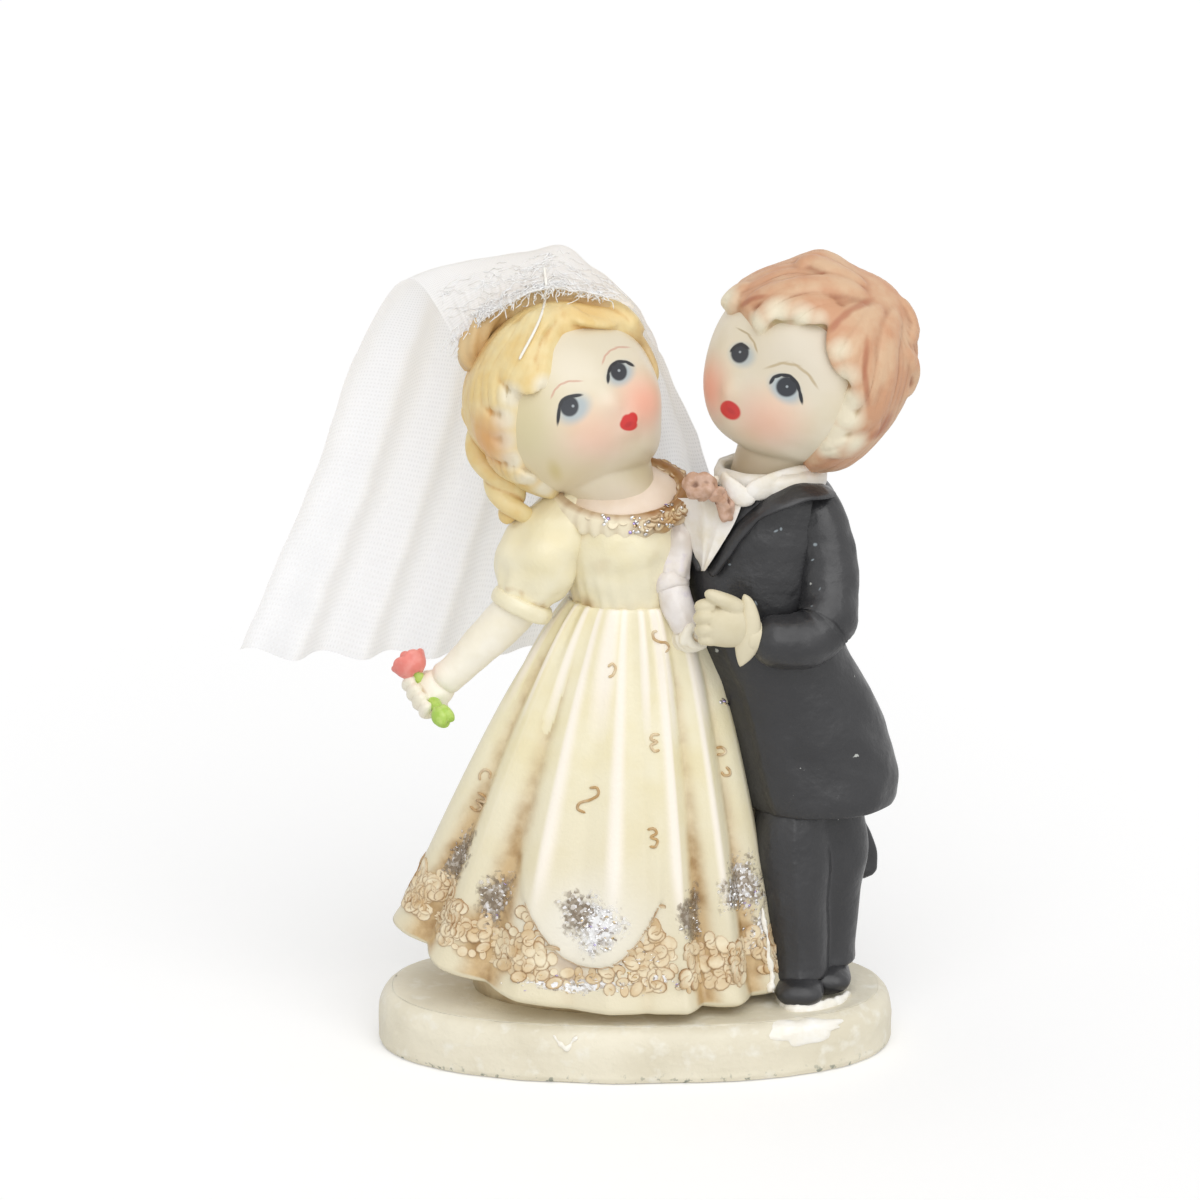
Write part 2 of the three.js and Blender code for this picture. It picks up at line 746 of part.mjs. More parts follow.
// Tailcoat body from hem to nape.
function coatShape() {
  const stops = [coatHem, coatHip, coatWaist, coatRibs, coatChest, coatShoulder, coatYoke, coatNape];
  return limb(stops, { sides: 16, steps: 8 });
}

// One tail of the coat, a rounded flap.
function tailShape(path) {
  const widths = [1, 0.95, 1, 0.5];
  const stops = path.map((place, i) => {
    return [...place, (tailWidth * widths[i]) / 2, (tailThickness * widths[i]) / 2];
  });
  return limb(stops, { sides: 10, steps: 6 });
}

// A plate that lies on the coat inside an outline drawn on the chest.
function chestPlate(outline, thickness) {
  const reach = 30;
  const prism = new THREE.ExtrudeGeometry(outline, { depth: reach, bevelEnabled: false });
  // The outline's x runs across the chest, its y runs up, and the prism points the way the chest faces.
  const facing = new THREE.Matrix4()
    .makeRotationZ(degrees(chestTurn))
    .multiply(new THREE.Matrix4().makeRotationX(Math.PI / 2));
  const solidPrism = welded(prism.applyMatrix4(facing).translate(coatChest[0], coatChest[1], 0));
  const coat = coatShape();
  const shell = solid(grown(coat, thickness + glueLine)).subtract(solid(grown(coat, glueLine)));
  const pieces = shell.intersect(solid(solidPrism)).decompose();
  return surface(pieces.sort((a, b) => b.volume() - a.volume())[0]);
}

function outlineOf(points) {
  return new THREE.Shape(points.map((p) => new THREE.Vector2(...p)));
}

function shirtShape() {
  return chestPlate(outlineOf([shirtPoint, shirtRightTop, shirtLeftTop]), shirtThickness);
}

// A lapel runs beside one edge of the shirt, from the shirt's point to the collar.
function lapelShape(top) {
  const hand = Math.sign(top[0]);
  const middle = [between(shirtPoint, top, 0.62)[0] + hand * lapelWidth, lerp(shirtPoint[1], top[1], 0.58)];
  return chestPlate(
    outlineOf([
      [shirtPoint[0] + hand * lapelEasing, shirtPoint[1] - lapelEasing],
      middle,
      [top[0] + hand * lapelWidth * 0.8, top[1]],
      [top[0] + hand * lapelEasing, top[1]],
    ]),
    lapelThickness,
  );
}

// Wing collar: a flared ring round the neck.
function collarShape() {
  const inner = collarRadius - collarThickness;
  const profile = [
    [inner, 0],
    [collarRadius, 0],
    [collarRadius + collarThickness / 2, collarHeight / 2],
    [collarRadius - collarThickness / 4, collarHeight],
    [inner, collarHeight],
    [inner, 0],
  ].map((p) => new THREE.Vector2(...p));
  return welded(new THREE.LatheGeometry(profile, 20).rotateX(Math.PI / 2)).translate(...collarCentre);
}

// Bow tie: a knot and two wings at the collar's front.
function bowShapes() {
  const knot = egg([0, 0, 0], [bowKnotRadius, bowKnotRadius, bowKnotRadius * 1.1], 14, 8);
  const wing = (hand) =>
    limb(
      [
        [hand * bowKnotRadius * 0.4, 0, 0, bowWingHeight * 0.35, bowKnotRadius * 0.6],
        [hand * bowWing * 0.6, 0, 0, bowWingHeight * 0.9, bowKnotRadius * 0.9],
        [hand * (bowWing + bowKnotRadius), 0, 0, bowWingHeight, bowKnotRadius * 0.5],
      ],
      { sides: 12, steps: 5, side: upAxis },
    );
  return { knot, left: wing(1), right: wing(-1) };
}

// A groom's arm: sleeve, shirt cuff and hand with four fingers and a thumb.
function groomArm(group, hand, { shoulder, upper, elbow, cuff, palm }) {
  const cuffRadius = groomSleeveRadius * groomCuffShare + groomCuffOverhang;
  const sleeve = limb(
    [
      [...shoulder, groomSleeveRadius],
      [...upper, groomSleeveRadius],
      [...elbow, groomSleeveRadius * 0.95],
      [...cuff, groomSleeveRadius * groomCuffShare],
    ],
    { sides: 11, steps: 9, side: new THREE.Vector3(0.6, 0.7, 0.4) },
  );
  const cuffEnd = beyond(elbow, cuff, groomCuffLength);
  const along = new THREE.Vector3(...palm).sub(new THREE.Vector3(...cuff)).normalize();
  const fingers = [-1.5, -0.5, 0.5, 1.5].map((step) => {
    const root = [palm[0], palm[1], palm[2] + step * fingerRadius * 1.5];
    const tip = root.map((value, axis) => value + along.getComponent(axis) * palmLength * 1.45);
    const knuckle = between(root, tip, 0.7);
    return limb([[...root, fingerRadius], [...knuckle, fingerRadius], [...tip, fingerRadius * 0.5]],
      { sides: 5, steps: 2, side: upAxis });
  });
  const thumbRoot = [palm[0], palm[1], palm[2] + palmWidth * 0.6];
  const thumbTip = [
    palm[0] + along.x * palmLength * 1.1,
    palm[1] + along.y * palmThickness,
    palm[2] + palmWidth * 1.35,
  ];
  const thumb = limb([[...thumbRoot, fingerRadius], [...thumbTip, fingerRadius * 0.7]],
    { sides: 5, steps: 1, side: new THREE.Vector3(0, 1, 0) });
  const wrist = rod(between(cuff, elbow, 0.25), palm, groomSleeveRadius * 0.45);
  const flat = egg(palm, [palmLength, palmThickness, palmWidth], 8, 6);
  return {
    sleeve: casting(group, `groom_${hand}_sleeve`, sleeve, paint.black),
    cuff: casting(group, `groom_${hand}_cuff`, rod(cuff, cuffEnd, cuffRadius, 14), paint.shirt),
    hand: casting(group, `groom_${hand}_hand`, joined(flat, wrist, thumb, ...fingers), paint.skin),
  };
}

// Glue fillet: the smear of white adhesive in front of the groom's right shoe.
function filletShape() {
  const toe = rightLegY - shoeLength * 0.7;
  const size = [glueFilletWidth / 2, glueFilletDepth / 2, glueFilletHeight];
  return mound([rightLegX + shoeWidth / 2, toe, glueLine], size, 16, 3);
}

// A group for a head: turned about its own centre, with the neck's foot given in the body's frame.
function headGroup(body, centre, turn) {
  const group = new THREE.Group();
  group.position.set(...centre);
  group.rotation.set(degrees(turn.pitch), degrees(turn.roll), degrees(turn.yaw), "ZXY");
  body.add(group);
  return group;
}

function inHead(group, place) {
  return new THREE.Vector3(...place).sub(group.position).applyQuaternion(group.quaternion.clone().invert());
}

// Assembly
const topper = new THREE.Group();
const bride = new THREE.Group();
bride.position.set(brideX, brideY, plinthHeight);
const brideBody = new THREE.Group();
brideBody.position.z = skirtHeight;
bride.add(brideBody);
const groom = new THREE.Group();
groom.position.set(groomX, groomY, plinthHeight);
const groomBody = new THREE.Group();
groomBody.position.z = hipHeight;
groom.add(groomBody);
topper.add(bride, groom);

const plinth = casting(topper, "plinth", plinthShape(), paint.ivory);

const skirt = casting(bride, "bride_skirt", skirtShape(), paint.gown);
const bodice = casting(brideBody, "bride_bodice", bodiceShape(), paint.gown);
const neckline = casting(brideBody, "bride_neckline_garland", necklineShape(), paint.gown);
const rightArm = brideArm(brideBody, "right", {
  shoulder: rightShoulder,
  puff: rightSleevePuff,
  cuff: rightCuff,
  wrist: rightWrist,
  fist: rightFist,
  puffRadius: rightPuffRadius,
  armRadius: rightForearmRadius,
  fistRadius: rightFistRadius,
});
const leftArm = brideArm(brideBody, "left", {
  shoulder: leftShoulder,
  puff: leftSleevePuff,
  cuff: leftCuff,
  wrist: leftWrist,
  fist: leftFist,
  puffRadius: leftPuffRadius,
  armRadius: leftForearmRadius,
  fistRadius: leftFistRadius,
});
const stem = casting(brideBody, "rose_stem", stemShape(), paint.leaf);
const bloom = casting(brideBody, "rose_bloom", bloomShape(), paint.rose);

const brideHeadPlace = headGroup(brideBody, brideHeadCentre, brideHeadTurn);
const brideHead = casting(
  brideHeadPlace,
  "bride_head",
  headShape(brideHeadRadius, brideNeckRadius, inHead(brideHeadPlace, brideNeckFoot), false),
  paint.skin,
);
const brideHair = casting(
  brideHeadPlace,
  "bride_hair",
  hairShape(brideHeadRadius, brideHairThickness, {
    faceAxis: [0.09, -0.86, -0.5],
    faceOpening: 60,
    locks: 9,
    part: [0.74, -0.17, 0.65],
    swells: brideHairSwells,
    showEars: false,
  }),
  paint.blond,
);
const hairRoll = casting(brideBody, "bride_hair_roll", hairRollShape(), paint.blond);
const sideCurl = casting(brideBody, "bride_side_curl", sideCurlShape(), paint.blond);
const veil = casting(brideBody, "veil", veilShape(), paint.gauze);

const trousers = casting(groom, "groom_trousers", trousersShape(), paint.black);
const rightShoeShape = shoeShape(rightLegX, rightLegY, rightLegFoot);
const rightShoe = casting(groom, "groom_right_shoe", rightShoeShape, paint.black);
const leftShoeShape = shoeShape(leftLegX, leftLegY, leftLegFoot);
const leftShoe = casting(groom, "groom_left_shoe", leftShoeShape, paint.black);
const fillet = casting(groom, "groom_glue_fillet", filletShape(), paint.glue);
const coat = casting(groomBody, "groom_coat", coatShape(), paint.black);
const leftTail = casting(groomBody, "groom_left_tail", tailShape(leftTailPath), paint.black);
const rightTail = casting(groomBody, "groom_right_tail", tailShape(rightTailPath), paint.black);
const shirt = casting(groomBody, "groom_shirt_front", shirtShape(), paint.shirt);
const leftLapel = casting(groomBody, "groom_left_lapel", lapelShape(shirtRightTop), paint.black);
const rightLapel = casting(groomBody, "groom_right_lapel", lapelShape(shirtLeftTop), paint.black);
const collar = casting(groomBody, "groom_collar", collarShape(), paint.shirt);
const bowPlace = new THREE.Group();
bowPlace.position.set(
  collarCentre[0] + bowReach * Math.sin(degrees(chestTurn)),
  collarCentre[1] - bowReach * Math.cos(degrees(chestTurn)),
  bowHeight,
);
bowPlace.rotation.set(0, degrees(bowTilt), degrees(chestTurn), "ZXY");
groomBody.add(bowPlace);
const bow = bowShapes();
const bowKnot = casting(bowPlace, "groom_bow_knot", bow.knot, paint.dustyPink);
const bowLeft = casting(bowPlace, "groom_bow_left_wing", bow.left, paint.dustyPink);
const bowRight = casting(bowPlace, "groom_bow_right_wing", bow.right, paint.dustyPink);
const groomLeftArm = groomArm(groomBody, "left", {
  shoulder: groomLeftShoulder,
  upper: groomLeftUpperArm,
  elbow: groomLeftElbow,
  cuff: groomLeftCuff,
  palm: groomLeftHand,
});
const groomRightArm = groomArm(groomBody, "right", {
  shoulder: groomRightShoulder,
  upper: groomRightUpperArm,
  elbow: groomRightElbow,
  cuff: groomRightCuff,
  palm: groomRightHand,
});
const groomHeadPlace = headGroup(groomBody, groomHeadCentre, groomHeadTurn);
const groomHead = casting(
  groomHeadPlace,
  "groom_head",
  headShape(groomHeadRadius, groomNeckRadius, inHead(groomHeadPlace, groomNeckFoot), true),
  paint.skin,
);
const groomHair = casting(
  groomHeadPlace,
  "groom_hair",
  hairShape(groomHeadRadius, groomHairThickness, {
    faceAxis: [0.08, -0.93, -0.4],
    faceOpening: 46,
    locks: 11,
    part: [0.1, -0.04, 0.99],
    swells: groomHairSwells,
    showEars: true,
  }),
  paint.ginger,
);

// Trimming: each line gives a casting and the neighbours that it makes room for.
topper.updateMatrixWorld(true);
trim(plinth, skirt, rightShoe, leftShoe);
trim(skirt, bodice);
trim(bodice, brideHead);
trim(neckline, bodice, brideHead);
for (const arm of [rightArm, leftArm]) {
  trim(arm.sleeve, bodice, neckline, arm.cuff, arm.forearm, brideHead);
  trim(arm.cuff, arm.forearm, bodice, skirt);
  trim(arm.forearm, arm.fist, bodice, skirt);
  trim(arm.fist, bodice, skirt, stem);
}
trim(bloom, stem, rightArm.fist, rightArm.forearm);
trim(stem, rightArm.forearm);
trim(brideHair, brideHead, bodice, neckline, rightArm.sleeve);
trim(hairRoll, brideHair, brideHead);
trim(sideCurl, brideHair, brideHead, bodice, rightArm.sleeve, neckline);
trim(veil, brideHair, hairRoll, sideCurl, bodice, rightArm.sleeve, groomRightArm.sleeve);

trim(trousers, rightShoe, leftShoe, skirt);
trim(leftShoe, rightShoe, skirt);
trim(rightShoe, skirt);
trim(fillet, rightShoe, leftShoe, skirt);
trim(coat, trousers, skirt, bodice, leftArm.sleeve, leftArm.cuff, leftArm.forearm, leftArm.fist, groomHead);
trim(leftTail, coat, trousers);
trim(rightTail, coat, trousers, leftTail, skirt);
trim(shirt, collar, leftArm.sleeve, neckline, groomHead);
trim(leftLapel, shirt, collar, groomHead);
trim(rightLapel, shirt, leftLapel, collar, bodice, neckline, leftArm.sleeve, leftArm.cuff, leftArm.forearm);
trim(collar, groomHead, coat);
trim(bowKnot, collar, shirt, coat);
trim(bowLeft, bowKnot, collar, shirt, coat, leftLapel, groomHead);
trim(bowRight, bowKnot, collar, shirt, coat, rightLapel, neckline, bodice, leftArm.sleeve, brideHead);
for (const arm of [groomLeftArm, groomRightArm]) {
  trim(arm.sleeve, coat, arm.cuff, arm.hand, bodice, skirt, leftLapel, collar);
  trim(arm.cuff, arm.hand, coat, bodice, skirt);
  trim(arm.hand, coat, bodice, skirt, leftArm.forearm, leftArm.fist, leftArm.cuff);
}
trim(groomHair, groomHead, collar, coat, groomLeftArm.sleeve);

export default topper;
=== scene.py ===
# %% [markdown]
# # Wedding cake topper
# A small bride and groom of cast, hand-painted resin stand on an oval plinth. The bride holds a
# rose and wears a veil of real cotton gauze that is glued to the hair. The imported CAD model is
# the frame: every piece below lies where a CAD solid lies and gives it its looks.

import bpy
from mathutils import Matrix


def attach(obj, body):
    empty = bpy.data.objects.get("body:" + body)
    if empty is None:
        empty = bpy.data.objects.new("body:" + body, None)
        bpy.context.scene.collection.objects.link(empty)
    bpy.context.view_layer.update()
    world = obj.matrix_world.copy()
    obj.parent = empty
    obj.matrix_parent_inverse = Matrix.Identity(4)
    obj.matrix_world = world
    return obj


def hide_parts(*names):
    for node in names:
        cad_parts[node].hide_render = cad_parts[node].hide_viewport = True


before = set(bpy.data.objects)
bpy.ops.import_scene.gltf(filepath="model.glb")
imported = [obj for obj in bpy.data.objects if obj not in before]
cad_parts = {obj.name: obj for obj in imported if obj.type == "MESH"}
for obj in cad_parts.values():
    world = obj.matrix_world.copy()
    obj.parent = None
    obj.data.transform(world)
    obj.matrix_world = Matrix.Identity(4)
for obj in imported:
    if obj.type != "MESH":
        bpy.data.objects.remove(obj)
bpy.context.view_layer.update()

import math
import random

import bmesh
import bpy
import numpy as np
from mathutils import Matrix, Vector, noise
from mathutils.bvhtree import BVHTree

scene = bpy.context.scene
print("CAD nodes:", len(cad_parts))

# %% [markdown]
# ## Camera
# The photograph was taken from the front and a little above, with a long lens. The camera could
# be placed by eye, but one known scale is safer: 8.2 pixels of the photograph are a millimetre
# on the couple, so the lens follows from the distance. The same numbers also turn a pixel of
# the photograph into a ray, which later drops painted details onto the pieces that carry them.

# %% Camera
MM = 0.001
PHOTO_PIXELS = 1200
PIXELS_PER_MM = 8.2
SENSOR_WIDTH = 36
FAR_CLIP = 20
EYE_DISTANCE = 450
EYE_ELEVATION = math.radians(15)
AIM = Vector((-4.4, 0, 56.6))
EYE_RIGHT = Vector((1, 0, 0))
EYE_UP = Vector((0, math.sin(EYE_ELEVATION), math.cos(EYE_ELEVATION)))
EYE_BACK = EYE_RIGHT.cross(EYE_UP)
EYE = AIM + EYE_BACK * EYE_DISTANCE

photo_camera = bpy.data.objects.new("photo_camera", bpy.data.cameras.new("photo_camera"))
scene.collection.objects.link(photo_camera)
photo_camera.location = EYE * MM
photo_camera.rotation_euler = (math.pi / 2 - EYE_ELEVATION, 0, 0)
photo_camera.data.sensor_width = SENSOR_WIDTH
photo_camera.data.lens = SENSOR_WIDTH * PIXELS_PER_MM * EYE_DISTANCE / PHOTO_PIXELS
photo_camera.data.clip_end = FAR_CLIP
scene.camera = photo_camera
scene.view_settings.view_transform = "Standard"
print("lens", round(photo_camera.data.lens, 1), "mm")

# %% Photo pixels


def photo_ray(u, v):
    """The ray from the eye through a pixel of the photograph."""
    ray = EYE_RIGHT * (u - PHOTO_PIXELS / 2) + EYE_UP * (PHOTO_PIXELS / 2 - v)
    return ray / (PIXELS_PER_MM * EYE_DISTANCE) - EYE_BACK


def photo_plane(u, v, y):
    """The point that a photo pixel shows on the plane at a depth y."""
    ray = photo_ray(u, v)
    return EYE + ray * (y - EYE.y) / ray.y


def photo_spot(surface, u, v, middle):
    """Where a pixel of the photograph falls on a surface, and the way that it faces there.
    Just past the outline it is the surface's nearest point, seen from its middle."""
    ray = photo_ray(u, v).normalized()
    spot, facing, _, _ = surface.ray_cast(EYE, ray)
    if spot is None:
        beside = EYE + ray * (Vector(middle) - EYE).dot(ray)
        spot, facing, _, _ = surface.find_nearest(beside)
    return spot, facing if facing.dot(ray) < 0 else -facing


def leaned(u, v, right, down, lean):
    """The photo pixel that lies right and down of another, turned by a lean in degrees."""
    cosine, sine = math.cos(math.radians(lean)), math.sin(math.radians(lean))
    return u + right * cosine - down * sine, v + right * sine + down * cosine


print("the eye is at", [round(c, 1) for c in EYE], "mm")

# %% [markdown]
# ## Colours and coats of paint
# Colours are written as the hex values that a paint chart would give, and one function turns
# them to the linear values that a renderer works in. A second one adds a node with its settings
# and its inputs. On these stand a few masks and the coats that are laid through them, so that a
# material reads as the painter worked: a base colour, then one coat after another.

# %% Colour and node helpers


def to_linear(paint_hex):
    """A hex colour as the linear red, green, blue and alpha of a shader socket."""
    parts = [int(paint_hex[i : i + 2], 16) / 255 for i in (1, 3, 5)]
    return [c / 12.92 if c <= 0.04045 else ((c + 0.055) / 1.055) ** 2.4 for c in parts] + [1]


def add_node(tree, kind, settings, inputs):
    """One node: settings are its properties, inputs are sockets to link or values to set."""
    node = tree.nodes.new(kind)
    for name, value in settings.items():
        setattr(node, name, value)
    for name, value in inputs.items():
        if isinstance(value, bpy.types.NodeSocket):
            tree.links.new(value, node.inputs[name])
        else:
            node.inputs[name].default_value = value
    return node


def new_finish(name, colour, **sockets):
    """A material whose Principled shader has a base colour and other fixed sockets."""
    finish = bpy.data.materials.new(name)
    finish.use_nodes = True
    shader = finish.node_tree.nodes["Principled BSDF"]
    shader.inputs["Base Color"].default_value = to_linear(colour)
    for socket, value in sockets.items():
        shader.inputs[socket.replace("_", " ")].default_value = value
    return finish


def feed(finish, socket, output):
    """Links an output to a socket of a finish's Principled shader."""
    shader = finish.node_tree.nodes["Principled BSDF"]
    finish.node_tree.links.new(output, shader.inputs[socket])


def coats(finish, *laid):
    """Lays coats on a finish in order. Each is a mask and a paint: a hex colour or a socket."""
    tree = finish.node_tree
    base = tree.nodes["Principled BSDF"].inputs["Base Color"]
    for mask, paint in laid:
        below = base.links[0].from_socket if base.is_linked else base.default_value
        above = to_linear(paint) if isinstance(paint, str) else paint
        inputs = {0: mask, 6: below, 7: above}
        mix = add_node(tree, "ShaderNodeMix", {"data_type": "RGBA"}, inputs)
        feed(finish, "Base Color", mix.outputs[2])


def speckle(finish, size_mm, low, high, detail=3):
    """A mask of soft blotches on Object coordinates: 0 below low, 1 above high."""
    tree = finish.node_tree
    coords = add_node(tree, "ShaderNodeTexCoord", {}, {})
    inputs = {"Vector": coords.outputs["Object"], "Scale": 1 / (size_mm * MM), "Detail": detail}
    blotch = add_node(tree, "ShaderNodeTexNoise", {}, inputs)
    inputs = {"Value": blotch.outputs["Fac"], "From Min": low, "From Max": high}
    return add_node(tree, "ShaderNodeMapRange", {}, inputs).outputs["Result"]


def vertex_mask(finish, store, low=0, high=1, top=1, easing="LINEAR"):
    """A mask from a number that the mesh stores on its vertices: none at low, top at high."""
    tree = finish.node_tree
    held = add_node(tree, "ShaderNodeAttribute", {"attribute_name": store}, {})
    inputs = {"Value": held.outputs["Fac"], "From Min": low, "From Max": high, "To Max": top}
    return add_node(tree, "ShaderNodeMapRange", {"interpolation_type": easing}, inputs).outputs[0]


def height_mask(finish, low_mm, high_mm, top=1, easing="LINEAR"):
    """A mask by height above the floor: none at the first height, top at the second."""
    tree = finish.node_tree
    coords = add_node(tree, "ShaderNodeTexCoord", {}, {})
    place = add_node(tree, "ShaderNodeSeparateXYZ", {}, {0: coords.outputs["Object"]})
    inputs = {"Value": place.outputs["Z"], "From Min": low_mm * MM, "From Max": high_mm * MM,
              "To Max": top}
    return add_node(tree, "ShaderNodeMapRange", {"interpolation_type": easing}, inputs).outputs[0]


def cast_texture(finish, size_mm, depth_mm, detail=3):
    """Small soft bumps, as a mould or a brush leaves them."""
    inputs = {"Height": speckle(finish, size_mm, 0.3, 0.7, detail), "Distance": depth_mm * MM,
              "Strength": 1}
    bump = add_node(finish.node_tree, "ShaderNodeBump", {}, inputs)
    feed(finish, "Normal", bump.outputs["Normal"])


DAB_DEPTH_MM = 4


def dabs(finish, surface, middle, rows):
    """Lays elliptical dabs on a finish, each where the photograph shows it on a surface. A row is
    a photo pixel, half-sizes in pixels, a lean in degrees, a colour, a softness and a strength."""
    tree = finish.node_tree
    coords = add_node(tree, "ShaderNodeTexCoord", {}, {})
    for u, v, half_u, half_v, lean, colour, soft, strength in rows:
        turned = Matrix.Rotation(math.radians(lean), 3, EYE_BACK)
        axes = Matrix((turned @ EYE_RIGHT, turned @ EYE_UP, EYE_BACK)).transposed()
        size = (half_u / PIXELS_PER_MM * MM, half_v / PIXELS_PER_MM * MM, DAB_DEPTH_MM * MM)
        inside = add_node(tree, "ShaderNodeMapping", {"vector_type": "TEXTURE"}, {
            "Vector": coords.outputs["Object"], "Rotation": axes.to_euler("XYZ"), "Scale": size,
            "Location": photo_spot(surface, u, v, middle)[0] * MM})
        reach = add_node(tree, "ShaderNodeVectorMath", {"operation": "LENGTH"},
                         {0: inside.outputs[0]})
        cover = add_node(tree, "ShaderNodeMapRange", {"interpolation_type": "SMOOTHSTEP"}, {
            "Value": reach.outputs["Value"], "From Min": 1 + soft, "From Max": 1 - soft,
            "To Max": strength})
        coats(finish, (cover.outputs["Result"], colour))


print("white is", [round(c, 2) for c in to_linear("#ffffff")])

# %% [markdown]
# ## Light and floor
# The photograph is a product shot on white with soft light from the front and above, and only a
# faint shadow at the foot. A large lamp close by would fade across the floor, so the key light is
# a sun with a wide angle, and the sky fills the rest. The floor is matt white. For the camera's
# own rays it glows a little, just enough that open floor is white and the shadow still shows.

# %% Light
SUN_STRENGTH = 1.45
SUN_ANGLE = math.radians(70)
SUN_TURN = (math.radians(46), 0, math.radians(14))
SKY_STRENGTH = 0.62
FLOOR_GLOW = 0.2

sun = bpy.data.objects.new("soft_key", bpy.data.lights.new("soft_key", "SUN"))
scene.collection.objects.link(sun)
sun.data.energy = SUN_STRENGTH
sun.data.angle = SUN_ANGLE
sun.rotation_euler = SUN_TURN

sky = bpy.data.worlds.new("studio_sky")
sky.use_nodes = True
scene.world = sky
seen = add_node(sky.node_tree, "ShaderNodeLightPath", {}, {})
rays = add_node(sky.node_tree, "ShaderNodeMath", {"operation": "MAXIMUM"},
                {0: seen.outputs["Is Camera Ray"], 1: seen.outputs["Is Transmission Ray"]})
rays = add_node(sky.node_tree, "ShaderNodeMath", {"operation": "MAXIMUM"},
                {0: rays.outputs[0], 1: seen.outputs["Is Glossy Ray"]})
level = add_node(sky.node_tree, "ShaderNodeMapRange", {},
                 {"Value": rays.outputs[0], "To Min": SKY_STRENGTH, "To Max": 1})
backdrop = sky.node_tree.nodes["Background"]
backdrop.inputs["Color"].default_value = to_linear("#ffffff")
sky.node_tree.links.new(level.outputs["Result"], backdrop.inputs["Strength"])

# %% Floor
FLOOR_REACH = 3

floor_bm = bmesh.new()
bmesh.ops.create_grid(floor_bm, x_segments=1, y_segments=1, size=FLOOR_REACH)
floor_mesh = bpy.data.meshes.new("studio_floor")
floor_bm.to_mesh(floor_mesh)
floor_bm.free()
studio_floor = bpy.data.objects.new("studio_floor", floor_mesh)
scene.collection.objects.link(studio_floor)

# Matt white board: no shine, and the small glow that keeps open floor white for the camera.
floor_finish = new_finish("matt_white_board", "#efefef", Roughness=1, Specular_IOR_Level=0,
                          Emission_Color=to_linear("#ffffff"))
seen = add_node(floor_finish.node_tree, "ShaderNodeLightPath", {}, {})
glow = add_node(floor_finish.node_tree, "ShaderNodeMath", {"operation": "MULTIPLY"},
                {0: seen.outputs["Is Camera Ray"], 1: FLOOR_GLOW})
feed(floor_finish, "Emission Strength", glow.outputs[0])
floor_mesh.materials.append(floor_finish)
print("floor", 2 * FLOOR_REACH, "m square")

# %% [markdown]
# ## Shaping helpers
# Most forms here are soft castings: limbs, sleeves, locks of hair. Each could be sculpted by
# hand, but a ball from the sphere operator that is drawn out along a smooth curve gives a closed
# skin with no seams, and its cross-section can swell and taper on the way. Forms that grow out
# of each other, such as fingers from a palm, are then cast into one skin by a voxel remesh.

# %% Shaping helpers


def along(stops, share):
    """A smooth curve through rows of numbers, at a share of its length from 0 to 1."""
    last = len(stops) - 1
    at = min(max(share, 0), 1) * last
    k = min(int(at), last - 1)
    t = at - k
    a, b = stops[k], stops[k + 1]
    before = stops[k - 1] if k else [2 * p - q for p, q in zip(a, b)]
    after = stops[k + 2] if k + 2 <= last else [2 * q - p for p, q in zip(a, b)]
    return [
        q + t * (r - p + t * (2 * p - 5 * q + 4 * r - s + t * (3 * q - p - 3 * r + s))) / 2
        for p, q, r, s in zip(before, a, b, after)
    ]


def stamp(bm, form):
    """Adds a small bmesh to a big one, because operators on the big one slow down as it grows."""
    mould = bpy.data.meshes.new("mould")
    form.to_mesh(mould)
    form.free()
    bm.from_mesh(mould)
    bpy.data.meshes.remove(mould)


def limb(bm, stops, across=(1, 0, 0), away=None, level=False, sides=24, rings=32, cap=0.12,
         swell=None):
    """A closed form along rows of x, y, z, half-width and half-depth, with rounded ends. Its
    width lies along across, or flat on a body whose middle is away, or its rings are level."""
    form = bmesh.new()
    frames = {}
    ball = bmesh.ops.create_uvsphere(form, u_segments=sides, v_segments=rings, radius=1)["verts"]
    for vert in ball:
        share = round(math.acos(max(-1, min(1, -vert.co.z))) / math.pi, 5)
        turn = math.atan2(vert.co.y, vert.co.x)
        if share not in frames:
            row = along(stops, share)
            ahead = Vector(along(stops, share + 0.01)[:3]) - Vector(along(stops, share - 0.01)[:3])
            ahead.normalize()
            if level:
                ahead = Vector((0, 0, 1))
            if away is None:
                wide = Vector(across) - ahead * ahead.dot(Vector(across))
            else:
                wide = ahead.cross(Vector(row[:3]) - Vector(away))
            wide.normalize()
            end = min(min(share, 1 - share) / cap, 1)
            frames[share] = row, wide, ahead.cross(wide), math.sqrt(1 - (1 - end) ** 2)
        row, wide, deep, narrowing = frames[share]
        size = narrowing * (1 if swell is None else swell(share, turn))
        vert.co = (Vector(row[:3]) + wide * (math.cos(turn) * row[3] * size)
                   + deep * (math.sin(turn) * row[4] * size))
    stamp(bm, form)


def shifted(stops, origin):
    """Rows of x, y, z and more, moved by an origin."""
    return [[r[0] + origin[0], r[1] + origin[1], r[2] + origin[2], *r[3:]] for r in stops]


